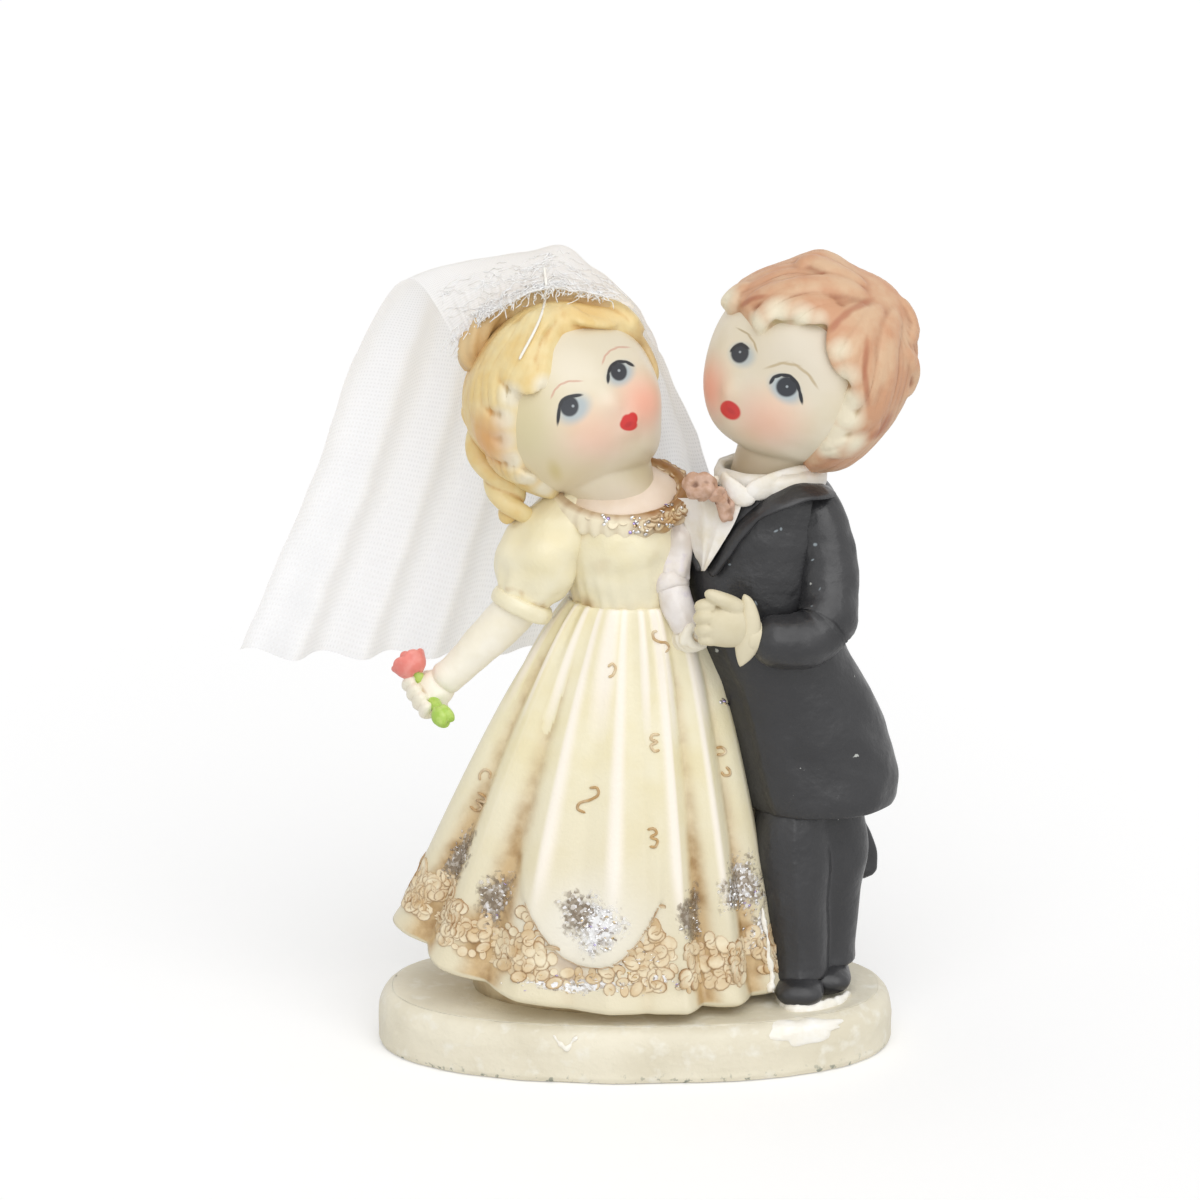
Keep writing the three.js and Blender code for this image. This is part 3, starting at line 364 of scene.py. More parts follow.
def cast_as_one(bm, voxel, passes):
    """Casts the overlapping forms of a bmesh into one skin, as a mould would."""
    rough = bpy.data.meshes.new("rough")
    bmesh.ops.recalc_face_normals(bm, faces=bm.faces)
    bm.to_mesh(rough)
    bm.free()
    blank = bpy.data.objects.new("rough", rough)
    scene.collection.objects.link(blank)
    remesh = blank.modifiers.new("cast", "REMESH")
    remesh.mode = "VOXEL"
    remesh.voxel_size = voxel
    cast = bmesh.new()
    cast.from_mesh(blank.evaluated_get(bpy.context.evaluated_depsgraph_get()).data)
    bpy.data.objects.remove(blank)
    bpy.data.meshes.remove(rough)
    for _ in range(passes):
        bmesh.ops.smooth_vert(cast, verts=cast.verts, factor=0.5, use_axis_x=True,
                              use_axis_y=True, use_axis_z=True)
    return cast


def read_vertices(mesh, what):
    """The co or the normal of every vertex, as rows of three numbers."""
    rows = np.empty(len(mesh.vertices) * 3)
    mesh.vertices.foreach_get(what, rows)
    return rows.reshape(-1, 3)


def store_numbers(mesh, store, numbers):
    """Stores a number on every vertex, which a vertex mask reads."""
    values = mesh.attributes.new(store, "FLOAT", "POINT")
    values.data.foreach_set("value", numbers.astype(np.float32))


def stores(bm, *names):
    """Layers of a bmesh that store a number on every vertex."""
    return [bm.verts.layers.float.new(name) for name in names]


def mark_creases(mesh, passes, depth_mm):
    """Stores how far each vertex lies below its smoothed surroundings, for paint washes and painted
    shade in the hollows.
    """
    spots, normals = read_vertices(mesh, "co"), read_vertices(mesh, "normal")
    count = len(spots)
    ends = np.empty(len(mesh.edges) * 2, int)
    mesh.edges.foreach_get("vertices", ends)
    a, b = ends.reshape(-1, 2).T
    valence = np.maximum(np.bincount(ends, minlength=count), 1)
    smoothed = spots.copy()
    for _ in range(passes):
        sums = [np.bincount(a, smoothed[b, k], count) + np.bincount(b, smoothed[a, k], count)
                for k in range(3)]
        smoothed = np.stack(sums, 1) / valence[:, None]
    store_numbers(mesh, "crease", ((smoothed - spots) * normals).sum(1) / (depth_mm * MM))


def finish_piece(bm, name, finish, nodes=(), creases=()):
    """A bmesh in millimetres becomes a named piece in metres that rides on the frame. Creases are
    the passes and the depth of mark_creases."""
    bmesh.ops.recalc_face_normals(bm, faces=bm.faces)
    bmesh.ops.scale(bm, vec=(MM, MM, MM), verts=bm.verts)
    mesh = bpy.data.meshes.new(name)
    bm.to_mesh(mesh)
    bm.free()
    mesh.shade_smooth()
    mesh.materials.append(finish)
    piece = bpy.data.objects.new(name, mesh)
    scene.collection.objects.link(piece)
    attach(piece, "root")
    if nodes:
        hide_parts(*nodes)
    if creases:
        mark_creases(mesh, *creases)
    print(name, len(mesh.polygons), "faces")
    return piece


def limb_piece(stops, name, finish, slot, nodes=(), rough=(), creases=(), **form):
    """A piece that is one limb. Rough is the height and the size of rough_skin."""
    bm = bmesh.new()
    limb(bm, stops, **form)
    if rough:
        rough_skin(bm, *rough)
    return finish_piece(bm, name, finish, nodes, creases)


def smoothstep(low, high, value):
    """0 below low, 1 above high, and an eased rise between them."""
    t = min(max((value - low) / (high - low), 0), 1)
    return t * t * (3 - 2 * t)


def rough_skin(bm, height, size):
    """Moves each vertex along its normal by soft noise, as a hand-finished casting has."""
    bm.normal_update()
    for vert in bm.verts:
        vert.co += vert.normal * height * noise.noise(vert.co / size)


print("helpers ready")

# %% [markdown]
# ## Plinth
# The base is an oval slab of ivory resin, poured into a soft mould: its upper edge is round, its
# sides wander a little and its lower edge is chipped. A bevelled cylinder would be too perfect,
# so a ball is pressed into the slab's profile and then roughened.

# %% Ivory cast resin
# Cast polyester resin, satin from the mould: creamy, blotchy, with dirt along its lower edge.
ivory_resin = new_finish("ivory_cast_resin", "#e9e2cd", Roughness=0.42, IOR=1.52)
dirty = add_node(ivory_resin.node_tree, "ShaderNodeMath", {"operation": "MULTIPLY"}, {
    0: speckle(ivory_resin, 0.9, 0.6, 0.68, detail=5), 1: height_mask(ivory_resin, 1.6, 0.3)})
coats(ivory_resin,
      (speckle(ivory_resin, 9, 0.4, 0.65), "#ddd5be"),
      (speckle(ivory_resin, 2.2, 0.55, 0.75), "#eeeadc"),
      (dirty.outputs[0], "#8d9183"))
cast_texture(ivory_resin, 0.8, 0.05, detail=4)

# %% Plinth
PLINTH_HALF = (32.5, 17)
PLINTH_TOP = 7
PLINTH_SQUARENESS = 2.3
# The sides wander in long and in short waves: height and size of each in mm.
LONG_WANDER, SHORT_WANDER = (0.28, 7), (0.1, 2.2)
PLINTH_INSET = 0.3
# Half-sizes are drawn in by the first number at the height of the second, from the underside up.
PLINTH_PROFILE = [(17, 0), (8, 0), (1.2, 0), (0.1, 0.5), (0, 1.6), (0, 3.2), (0.1, 4.6),
                  (0.7, 6.1), (1.9, 6.9), (3.6, 7), (9, 7), (17, 7)]


def oval(turn):
    """A point of the plinth's outline, as a share of its half-sizes."""
    bend = 2 / PLINTH_SQUARENESS
    return [math.copysign(abs(f(turn)) ** bend, f(turn)) for f in (math.cos, math.sin)]


bm = bmesh.new()
for vert in bmesh.ops.create_uvsphere(bm, u_segments=200, v_segments=84, radius=1)["verts"]:
    share = math.acos(max(-1, min(1, -vert.co.z))) / math.pi
    inset, z = along(PLINTH_PROFILE, share)
    x, y = oval(math.atan2(vert.co.y, vert.co.x))
    stretch = 1 + (PLINTH_HALF[0] / PLINTH_HALF[1] - 1) * smoothstep(3, 9, inset)
    vert.co = (x * (PLINTH_HALF[0] - inset * stretch), y * (PLINTH_HALF[1] - inset), z)
for vert in bm.verts:
    wander = sum(height * noise.noise(vert.co / size) for height, size in (LONG_WANDER, SHORT_WANDER))
    outward = Vector((vert.co.x / PLINTH_HALF[0] ** 2, vert.co.y / PLINTH_HALF[1] ** 2, 0))
    if 0.05 < vert.co.z < PLINTH_TOP - 0.1:
        vert.co += outward.normalized() * (wander - PLINTH_INSET)
    elif vert.co.z > PLINTH_TOP - 0.5:
        vert.co.z += min(wander, 0)
plinth_surface = BVHTree.FromBMesh(bm)
finish_piece(bm, "oval_plinth", ivory_resin, ["plinth"])

# %% [markdown]
# ## The gown's skirt
# The skirt is one casting with deep folds that run from the waist to a lifted hem, a smooth
# overskirt in front with a scalloped end, and a lip along the hem. A cloth simulation would give
# folds of its own, so each fold is placed by its angle round the waist instead: a groove with a
# depth and a width, which dies out upwards. The same grooves later hold the brown paint wash and
# painted shade, and the ridges between them take painted highlights.

# %% Pearl gown paint
# Pearl lacquer over ivory resin: soft shine, tan wash and painted shade in the grooves, painted
# pearl highlights on the ridges, and painted shade that darkens it towards the hem.
pearl_gown = new_finish("pearl_lacquer_gown", "#f0e8ca", Roughness=0.34, IOR=1.5, Coat_Weight=0.3,
                        Coat_Roughness=0.16)
grooves = vertex_mask(pearl_gown, "wash", 0.1, 1, easing="SMOOTHSTEP")
ridges = vertex_mask(pearl_gown, "wash", -0.05, -0.45, 0.85, "SMOOTHSTEP")
stain = add_node(pearl_gown.node_tree, "ShaderNodeMath", {"operation": "MULTIPLY"}, {
    0: grooves, 1: speckle(pearl_gown, 2.6, 0.42, 0.66, detail=5)})
coats(pearl_gown,
      (speckle(pearl_gown, 7, 0.4, 0.66), "#ebe0b8"),
      (height_mask(pearl_gown, 44, 14, 0.8, "SMOOTHSTEP"), "#dcd2b6"),
      (ridges, "#fdf5ea"),
      (grooves, "#cdb183"),
      (stain.outputs[0], "#a27f4e"))
cast_texture(pearl_gown, 0.5, 0.02)

# %% Skirt
BRIDE_X = -0.75
WAIST_Z = 56
WAIST_HALF = (7.5, 6.1)
SKIRT_TOP = 57.1
HEM_LEFT, HEM_RIGHT, HEM_HALF_DEPTH = 28.6, 19.5, 14.5
HEM_CLEARANCE, HEM_LIFT, HEM_LIFT_SHARPNESS, HEM_THICKNESS = 1.8, 7.2, 5.5, 1.4
SKIRT_FLARE, SKIRT_FLARE_RIGHT = 0.83, 0.62
FOOT_HALF = (16.5, 10.5)
FOOT_SHIFT = -3
RIDGE = 0.7
WAIST_PLEATS = 17
# Folds: angle from the bride's left hand side with -90 in front, depth at the hem, half-width in
# degrees. A depth below zero is a ridge.
FOLDS = [(-155, 2.1, 7), (-142, -0.4, 5), (-130, 2, 6), (-118, -0.5, 4), (-105, 0.5, 4),
         (-95, -0.4, 3.5), (-84, 0.5, 4), (-70, -0.6, 3.5), (-61, 1.8, 5), (-50, -0.5, 4.5),
         (-38, 1.5, 6), (-24, -0.3, 5), (-10, 1.2, 8), (14, 1.4, 9), (40, 1.5, 9), (66, 1.5, 9),
         (92, 1.5, 8), (118, 1.5, 8), (144, 1.5, 8), (172, 1.4, 8)]
# The overskirt's scalloped end, in front: its middle, half-width, lowest point and rise.
SCALLOP_X, SCALLOP_HALF, SCALLOP_Z, SCALLOP_RISE = -5.4, 8.6, 14.3, 8.4
# The overskirt's front panel fades out upwards between these heights.
PANEL_FADE = (21, 34)
OVERSKIRT_THICKNESS = 0.55
LACE_ABOVE_HEM = 2.8
LACE_HEIGHT = 5
# Where the casting's stretches end, as shares of the way from the waist's cap to the foot.
CAP_END, OUTSIDE_END, LIP_END, UNDERSIDE_END = 0.03, 0.86, 0.89, 0.96


def hem_z(angle):
    """The hem's height: low in front and at the groom's side, lifted at the other."""
    lifted = (0.5 - 0.5 * math.cos(angle)) ** HEM_LIFT_SHARPNESS
    return PLINTH_TOP + HEM_CLEARANCE + HEM_LIFT * lifted


def waist_pleat(angle):
    """The wave of the small pleats round the waist, from -1 to 1."""
    return math.cos(WAIST_PLEATS * angle + 1.5 * math.sin(5 * angle))


def fold_depth(angle):
    """How deep the folds cut at an angle, at the hem; below zero on a ridge."""
    total = 0
    for place, depth, half_width in FOLDS:
        apart = abs((math.degrees(angle) - place + 180) % 360 - 180) / half_width
        if apart < 3:
            total += depth * math.exp(-(apart**1.5))
    return total


def scallop_edge(x):
    """The overskirt's lower edge in front, at a place across it."""
    return SCALLOP_Z + SCALLOP_RISE * min(abs(x - SCALLOP_X) / SCALLOP_HALF, 1.2) ** 2.3


def overskirt(x, y, z):
    """1 on the overskirt's front panel, 0 off it."""
    if y > 0:
        return 0
    inside = 1 - smoothstep(0.95, 1.03, abs(x - SCALLOP_X) / SCALLOP_HALF)
    edge = scallop_edge(x)
    return smoothstep(edge - 0.2, edge + 0.2, z) * inside * (1 - smoothstep(*PANEL_FADE, z))


def skirt_spot(fall, angle):
    """A point of the skirt: fall is 0 at the waist and 1 at the hem."""
    flare = max(fall, 0) ** SKIRT_FLARE
    hem, flare_x = HEM_LEFT, flare
    if math.cos(angle) > 0:
        hem, flare_x = HEM_RIGHT, max(fall, 0) ** SKIRT_FLARE_RIGHT
    pleat = 0.26 * waist_pleat(angle) * math.exp(-((fall - 0.1) / 0.15) ** 2)
    lip = 0.45 * math.exp(-(((1 - fall) / 0.035) ** 2))
    fold = RIDGE * fall - fold_depth(angle) * max(fall, 0) ** 0.7 + pleat + lip
    half_x = WAIST_HALF[0] + (hem - WAIST_HALF[0]) * flare_x + fold
    half_y = WAIST_HALF[1] + (HEM_HALF_DEPTH - WAIST_HALF[1]) * flare + fold
    x, y = BRIDE_X + half_x * math.cos(angle), half_y * math.sin(angle)
    z = SKIRT_TOP + (hem_z(angle) - SKIRT_TOP) * fall
    lift = 1 + OVERSKIRT_THICKNESS * overskirt(x, y, z) / HEM_HALF_DEPTH
    return Vector((x, y * lift, z))


def skirt_wash_and_shade(spot, fall, angle):
    """How much paint wash and painted shade a point of the skirt holds: brown low in the folds and
    under the lace, painted shade in every fold, and below zero painted highlights on the ridges and
    the pleats at the waist.
    """
    fold = fold_depth(angle)
    pleat = waist_pleat(angle) * (1 - smoothstep(0.15, 0.45, fall))
    # Ridges, and pleats near the waist, go below zero: painted highlights.
    if fold < 0 or pleat > 0.3:
        return min(1.2 * fold, -0.4 * max(pleat, 0)) * (1 - smoothstep(0.6, 0.9, fall))
    above_hem = spot.z - hem_z(angle)
    above_lace = smoothstep(LACE_HEIGHT + 1, LACE_HEIGHT + 4, above_hem)
    lace = smoothstep(1.6, 3, above_hem) * (1 - above_lace)
    bare = overskirt(spot.x, spot.y, spot.z)
    patchy = 0.55 + 0.5 * noise.noise(spot * 0.45)
    # Every fold holds painted shade from near the waist down, more low down, with the brown wash.
    valley = fold * (0.26 * smoothstep(0.05, 0.2, fall) + 0.42 * smoothstep(0.45, 0.85, fall))
    return (valley + max(patchy, 0) * lace) * (1 - bare)


def skirt_casting(share, angle):
    """The closed skirt: cap, outside, lip, underside, foot. Gives a point and its wash, which on the
    underside and the foot is painted shade under the hem.
    """
    rim = skirt_spot(1, angle)
    inward = Vector((BRIDE_X - rim.x, -rim.y, 0)).normalized()
    foot = Vector((BRIDE_X + FOOT_SHIFT + FOOT_HALF[0] * math.cos(angle),
                   FOOT_HALF[1] * math.sin(angle), PLINTH_TOP - 0.2))
    if share < CAP_END:
        return Vector((BRIDE_X, 0, SKIRT_TOP)).lerp(skirt_spot(0, angle), share / CAP_END), 0
    if share < OUTSIDE_END:
        fall = (share - CAP_END) / (OUTSIDE_END - CAP_END)
        spot = skirt_spot(fall, angle)
        return spot, skirt_wash_and_shade(spot, fall, angle)
    if share < LIP_END:
        roll = (share - OUTSIDE_END) / (LIP_END - OUTSIDE_END)
        drop = math.sin(roll * math.pi) * HEM_THICKNESS * 0.35
        return rim + inward * HEM_THICKNESS * roll - Vector((0, 0, drop)), 0.1
    inner = rim + inward * HEM_THICKNESS
    # Under the hem the wash is painted shade.
    if share < UNDERSIDE_END:
        under = (share - LIP_END) / (UNDERSIDE_END - LIP_END)
        spot = inner.lerp(foot, smoothstep(0, 1, under))
        spot.z = inner.z + (foot.z - inner.z) * under**2.5
        return spot, 0.5
    foot_middle = Vector((BRIDE_X + FOOT_SHIFT, 0, foot.z))
    return foot.lerp(foot_middle, (share - UNDERSIDE_END) / (1 - UNDERSIDE_END)), 0.5


bm = bmesh.new()
wash, = stores(bm, "wash")
for vert in bmesh.ops.create_uvsphere(bm, u_segments=360, v_segments=150, radius=1)["verts"]:
    share = math.acos(max(-1, min(1, vert.co.z))) / math.pi
    vert.co, vert[wash] = skirt_casting(share, math.atan2(vert.co.y, vert.co.x))
skirt_surface = BVHTree.FromBMesh(bm)
SKIRT_MIDDLE = (BRIDE_X, 0, 30)
# A milky glaze lies round the glitter on the scallop.
GLAZE = (585, 928, 56, 44, 0, "#f3f0e8", 0.9, 0.7)
dabs(pearl_gown, skirt_surface, SKIRT_MIDDLE, [GLAZE])
finish_piece(bm, "gown_skirt", pearl_gown, ["bride_skirt"])

# %% [markdown]
# ## Lace, squiggles and glitter
# The mould has a band of lace above the hem: hundreds of tiny rosettes whose rims hold brown
# paint while their tops were wiped clean. Each rosette is a flat five-petalled ball of a few dozen
# faces, and its vertices store how much wash they hold. Glitter was dabbed on in patches, so its
# flakes are thin six-sided plates that lie on the cloth where the photograph shows a patch.

# %% Brown-washed lace and craft glitter
# Ivory resin relief, gold-brown wash wiped off the tops: tan rims round cream middles.
washed_lace = new_finish("washed_ivory_lace", "#f2e7ca", Roughness=0.4, IOR=1.5)
golden = add_node(washed_lace.node_tree, "ShaderNodeMath", {"operation": "MULTIPLY"}, {
    0: speckle(washed_lace, 2.4, 0.3, 0.62), 1: vertex_mask(washed_lace, "gold")})
coats(washed_lace, (golden.outputs[0], "#c9a671"), (vertex_mask(washed_lace, "wash"), "#9a6d3c"))

# Cut polyester glitter: bright plates, most silver, a few gold or lilac.
craft_glitter = new_finish("craft_glitter", "#ffffff", Roughness=0.2, Metallic=0.8)

# Glitter glue: a clear film full of fine silver grains, grey-brown where the grains are thin.
GRAIN_MM = 0.36
GRAIN_RELIEF_MM = 0.06
glitter_glue = new_finish("silver_glitter_glue", "#ffffff", Roughness=0.25, Metallic=0.3,
                          Coat_Weight=0.5)
tree = glitter_glue.node_tree
coords = add_node(tree, "ShaderNodeTexCoord", {}, {})
grains = add_node(tree, "ShaderNodeTexVoronoi", {}, {
    "Vector": coords.outputs["Object"], "Scale": 1 / (GRAIN_MM * MM)})
grain = add_node(tree, "ShaderNodeSeparateXYZ", {}, {0: grains.outputs["Color"]})
brightness = add_node(tree, "ShaderNodeAttribute", {"attribute_name": "tint"}, {})
lit = add_node(tree, "ShaderNodeMath", {"operation": "ADD"}, {
    0: grain.outputs["X"], 1: brightness.outputs["Fac"]})
cover = add_node(tree, "ShaderNodeAttribute", {"attribute_name": "cover"}, {})
spread = add_node(tree, "ShaderNodeMath", {"operation": "MULTIPLY_ADD"}, {
    0: grain.outputs["Z"], 1: 0.5, 2: cover.outputs["Fac"]})
held = add_node(tree, "ShaderNodeMapRange", {}, {
    "Value": spread.outputs[0], "From Min": 0.4, "From Max": 0.9, "To Max": 0.92})
feed(glitter_glue, "Alpha", held.outputs["Result"])
bump = add_node(tree, "ShaderNodeBump", {}, {
    "Height": grain.outputs["Y"], "Distance": GRAIN_RELIEF_MM * MM, "Strength": 1})
feed(glitter_glue, "Normal", bump.outputs["Normal"])

# Both glitters take their colour from a number of 0 to 1, flakes in steps and grains in a blend.
GLITTER_TINTS = (
    (craft_glitter, vertex_mask(craft_glitter, "tint"), "CONSTANT",
     ((0, "#ffffff"), (0.5, "#e4e2e4"), (0.7, "#b3aaa2"), (0.84, "#dcc294"), (0.95, "#c3b2f0"))),
    (glitter_glue, lit.outputs[0], "LINEAR",
     ((0, "#8a7a66"), (0.35, "#a79a88"), (0.6, "#c9c0b4"), (0.8, "#f6f4f4"), (1, "#ffffff"))))
for finish, number, blend, tints in GLITTER_TINTS:
    ramp = add_node(finish.node_tree, "ShaderNodeValToRGB", {}, {"Fac": number})
    stops = ramp.color_ramp.elements
    ramp.color_ramp.interpolation = blend
    for place, tint in tints:
        stop = stops.new(place) if 0 < place < 1 else stops[-int(place)]
        stop.color = to_linear(tint)
    feed(finish, "Base Color", ramp.outputs["Color"])

# %% Rosettes


def standing_on(spot, facing, spin):
    """A frame whose third axis is the surface's normal at a spot."""
    turned = Vector(facing).to_track_quat("Z", "Y").to_matrix() @ Matrix.Rotation(spin, 3, "Z")
    return Matrix.Translation(spot) @ turned.to_4x4()


ROSETTE_HEIGHT = 0.11
ROSETTE_ROOT = -0.15
ROSETTE_PETALS = 5


def rosette(bm, spot, facing, radius, spin, brown, tone):
    """A flat, uneven, petalled loop: a brown rim round a paler, sunk middle of cream or gold."""
    bead = bmesh.new()
    wash, gold = stores(bead, "wash", "gold")
    there = standing_on(spot, facing, spin)
    squash = 1 + 0.22 * math.sin(9 * spin)
    for vert in bmesh.ops.create_uvsphere(bead, u_segments=10, v_segments=8, radius=1)["verts"]:
        x, y, z = vert.co
        reach = math.hypot(x, y)
        petal = radius * (1 + 0.26 * math.cos(ROSETTE_PETALS * math.atan2(y, x)))
        vert[wash], vert[gold] = brown * smoothstep(0.74, 0.98, reach), tone
        rise = ROSETTE_HEIGHT * (0.35 + 0.65 * smoothstep(0.3, 0.75, reach))
        lifted = radius * (rise if z > 0.1 else ROSETTE_ROOT)
        vert.co = there @ Vector((x * petal * squash, y * petal / squash, lifted))
    stamp(bm, bead)


LACE_PITCH = 1.02
LACE_ROWS = 12
LACE_ROW_STEP = 0.85
LACE_STAGGER = 0.03
LACE_SCATTER = 0.35
LACE_TIP = 0.12
LACE_RADIUS = 0.92
# Worn gaps in the band: the noise's fineness, and the value below which there is no lace.
LACE_GAPS = (0.32, -0.3)
NUDGE = 0.01
lace_rng = random.Random(3)
lace_bm = bmesh.new()
stores(lace_bm, "wash", "gold")
rosettes = 0
for row in range(LACE_ROWS):
    angle = -math.pi + row * LACE_STAGGER
    while angle < math.pi:
        here = skirt_spot(1, angle)
        angle += LACE_PITCH / math.hypot(here.x - BRIDE_X, here.y)
        z = hem_z(angle) + LACE_ABOVE_HEM + row * LACE_PITCH * LACE_ROW_STEP
        z += lace_rng.uniform(-LACE_SCATTER, LACE_SCATTER)
        fall = (SKIRT_TOP - z) / (SKIRT_TOP - hem_z(angle))
        spot = skirt_spot(fall, angle)
        front = spot.y < 0 and abs(spot.x - SCALLOP_X) < SCALLOP_HALF
        wander = 1.6 * noise.noise(Vector((math.cos(angle), math.sin(angle), 0)) * 5)
        top = hem_z(angle) + LACE_ABOVE_HEM + LACE_HEIGHT + wander
        if front:
            top = scallop_edge(spot.x) - 0.4
        if z > top or noise.noise(spot * LACE_GAPS[0]) < LACE_GAPS[1]:
            continue
        beside, above = skirt_spot(fall, angle + NUDGE), skirt_spot(fall - NUDGE, angle)
        tip = Vector([lace_rng.uniform(-LACE_TIP, LACE_TIP) for _ in range(3)])
        facing = ((beside - spot).cross(above - spot).normalized() + tip).normalized()
        rosette(lace_bm, spot, facing, LACE_RADIUS * lace_rng.uniform(0.5, 1.25),
                lace_rng.uniform(0, 2), lace_rng.uniform(0.3, 0.95), lace_rng.uniform(0.45, 0.85))
        rosettes += 1

# %% Squiggles
# Brown curls on the plain part of the gown, by their place in the photograph. Each is a shape, a
# photo pixel, a width that mirrors it below zero, a height, a lean and a wash.
CURL = [(-4, -9), (3, -9), (5, -4), (-1, -1), (5, 3), (2, 9), (-4, 8)]
BEND = [(1, -12), (9, -12), (10, -5), (2, 0), (-8, 3), (-10, 9), (-2, 13)]
HOOK = [(-5, -4), (0, -8), (5, -4), (3, 3), (-2, 6)]
SQUIGGLES = [(BEND, 588, 800, 1, 1, 0, 0.65), (CURL, 656, 743, -1, 0.9, 0, 0.15),
             (CURL, 652, 838, 1, 1, -8, 0.3), (HOOK, 611, 672, 0.8, 1, 10, 0.1),
             (BEND, 661, 642, -0.6, 0.9, -15, 0.45), (CURL, 478, 802, 1.3, 0.9, 30, 0.75),
             (HOOK, 484, 776, -1, 0.9, 60, 0.5), (HOOK, 720, 752, 1, 0.6, 20, 0.35),
             (HOOK, 726, 771, -0.9, 0.6, -160, 0.35)]
SQUIGGLE_HALF = 0.18
SQUIGGLE_RISE = 0.05
for shape, u, v, width, height, lean, brown in SQUIGGLES:
    stops = []
    for right, down in shape:
        pixel = leaned(u, v, right * width, down * height, lean)
        spot, facing = photo_spot(skirt_surface, *pixel, SKIRT_MIDDLE)
        stops.append([*(spot + facing * SQUIGGLE_RISE), SQUIGGLE_HALF, SQUIGGLE_HALF])
    curl = bmesh.new()
    limb(curl, stops, across=EYE_BACK, sides=7, rings=30, cap=0.08)
    wash, gold = stores(curl, "wash", "gold")
    for vert in curl.verts:
        vert[wash], vert[gold] = 0.6 * brown + 0.3 * noise.noise(vert.co * 2), 1
    stamp(lace_bm, curl)
finish_piece(lace_bm, "lace_rosettes", washed_lace)
print("rosettes:", rosettes)

# %% Scallop outline
SCALLOP_CORD = 0.1
CORD_END = 0.95
CORD_STOPS = 25
cord_stops = []
for k in range(CORD_STOPS):
    x = SCALLOP_X + SCALLOP_HALF * CORD_END * (2 * k / (CORD_STOPS - 1) - 1)
    before = Vector((x, -60, scallop_edge(x)))
    spot, facing, _, _ = skirt_surface.ray_cast(before, Vector((0, 1, 0)))
    cord_stops.append([*(spot + facing * 0.02), SCALLOP_CORD, SCALLOP_CORD])
bm = bmesh.new()
limb(bm, cord_stops, across=(0, 0, 1), sides=8, rings=120, cap=0.02)
outline_wash, = stores(bm, "wash")
for vert in bm.verts:
    vert[outline_wash] = 0.6 + 0.4 * noise.noise(vert.co)
finish_piece(bm, "scallop_outline", washed_lace)

# %% Glitter patches
# Each patch: its middle and half-sizes in photo pixels, its flakes, and the lowest tint in it.
GLITTER = [(597, 930, 20, 24, 90, 0.0), (494, 900, 16, 26, 16, 0.0), (458, 858, 10, 32, 10, 0.3),
           (690, 920, 11, 24, 12, 0.1), (745, 888, 20, 26, 34, 0.0), (752, 930, 18, 20, 14, 0.0),
           (724, 704, 4, 6, 6, 0.6), (580, 985, 100, 12, 40, 0.0), (640, 960, 26, 16, 14, 0.0)]
# Films of glitter glue: middle and half-sizes in photo pixels, lean in degrees, and brightness.
FILMS = [(580, 913, 27, 25, 0, -0.12), (599, 926, 28, 34, 10, 0.5), (494, 900, 19, 35, 14, -0.2),
         (459, 858, 11, 36, 28, -0.35), (690, 915, 13, 30, 2, -0.45), (742, 885, 26, 34, 10, 0.05),
         (575, 984, 60, 8, 2, 0.45), (655, 978, 14, 9, 0, 0.3), (760, 935, 14, 26, 0, 0.2)]
FILM_RISE = 0.12
FLAKE_RADIUS = (0.16, 0.3)
FLAKE_THICKNESS = 0.05
FLAKE_RISE = 0.12
FLAKE_TIP = 0.45
glitter_rng = random.Random(8)
glitter_bm = bmesh.new()
stores(glitter_bm, "tint")


def flake(spot, facing, lowest_tint):
    """One plate of glitter, tipped a little off the surface."""
    tip = Vector([glitter_rng.uniform(-FLAKE_TIP, FLAKE_TIP) for _ in range(3)])
    there = standing_on(spot + facing * FLAKE_RISE, (facing + tip).normalized(), 0)
    radius = glitter_rng.uniform(*FLAKE_RADIUS)
    shade = glitter_rng.uniform(lowest_tint, 1)
    plate = bmesh.new()
    tint, = stores(plate, "tint")
    bmesh.ops.create_cone(plate, cap_ends=True, segments=6, radius1=radius, radius2=radius,
                          depth=FLAKE_THICKNESS, matrix=there)
    for vert in plate.verts:
        vert[tint] = shade
    stamp(glitter_bm, plate)


for u, v, half_u, half_v, flakes, lowest_tint in GLITTER:
    for _ in range(flakes):
        reach, turn = glitter_rng.random() ** 0.6, glitter_rng.uniform(0, 2 * math.pi)
        spot, facing = photo_spot(skirt_surface, u + half_u * reach * math.cos(turn),
                                  v + half_v * reach * math.sin(turn), SKIRT_MIDDLE)
        flake(spot, facing, lowest_tint)


def photo_film(bm, surface, middle, place, half, lean, rise, brightness=0, taper=0):
    """A thin ragged film that lies on a surface where the photograph shows it, thickest in its
    middle. Each vertex stores its brightness as tint, and as cover how much of the film is there."""
    disc = bmesh.new()
    tint, cover = stores(disc, "tint", "cover")
    bmesh.ops.create_circle(disc, cap_ends=True, cap_tris=True, radius=1, segments=40)
    spokes = [edge for edge in disc.edges if not edge.is_boundary]
    bmesh.ops.subdivide_edges(disc, edges=spokes, cuts=9, use_grid_fill=True)
    u, v = place
    for vert in disc.verts:
        reach, turn = min(vert.co.length, 1), math.atan2(vert.co.y, vert.co.x)
        ragged = 1 + 0.16 * math.sin(3 * turn + u) + 0.1 * math.sin(7 * turn + v)
        right = vert.co.x * half[0] * ragged
        down = vert.co.y * half[1] * ragged * (1 - taper * vert.co.x)
        spot, facing = photo_spot(surface, *leaned(u, v, right, down, lean), middle)
        vert[tint] = brightness + 0.25 * noise.noise(spot)
        vert[cover] = 1.1 * (1 - reach) + 0.25 * noise.noise(spot * 1.4)
        vert.co = spot + facing * (rise * math.sqrt(1 - reach**2) + 0.04)
    stamp(bm, disc)


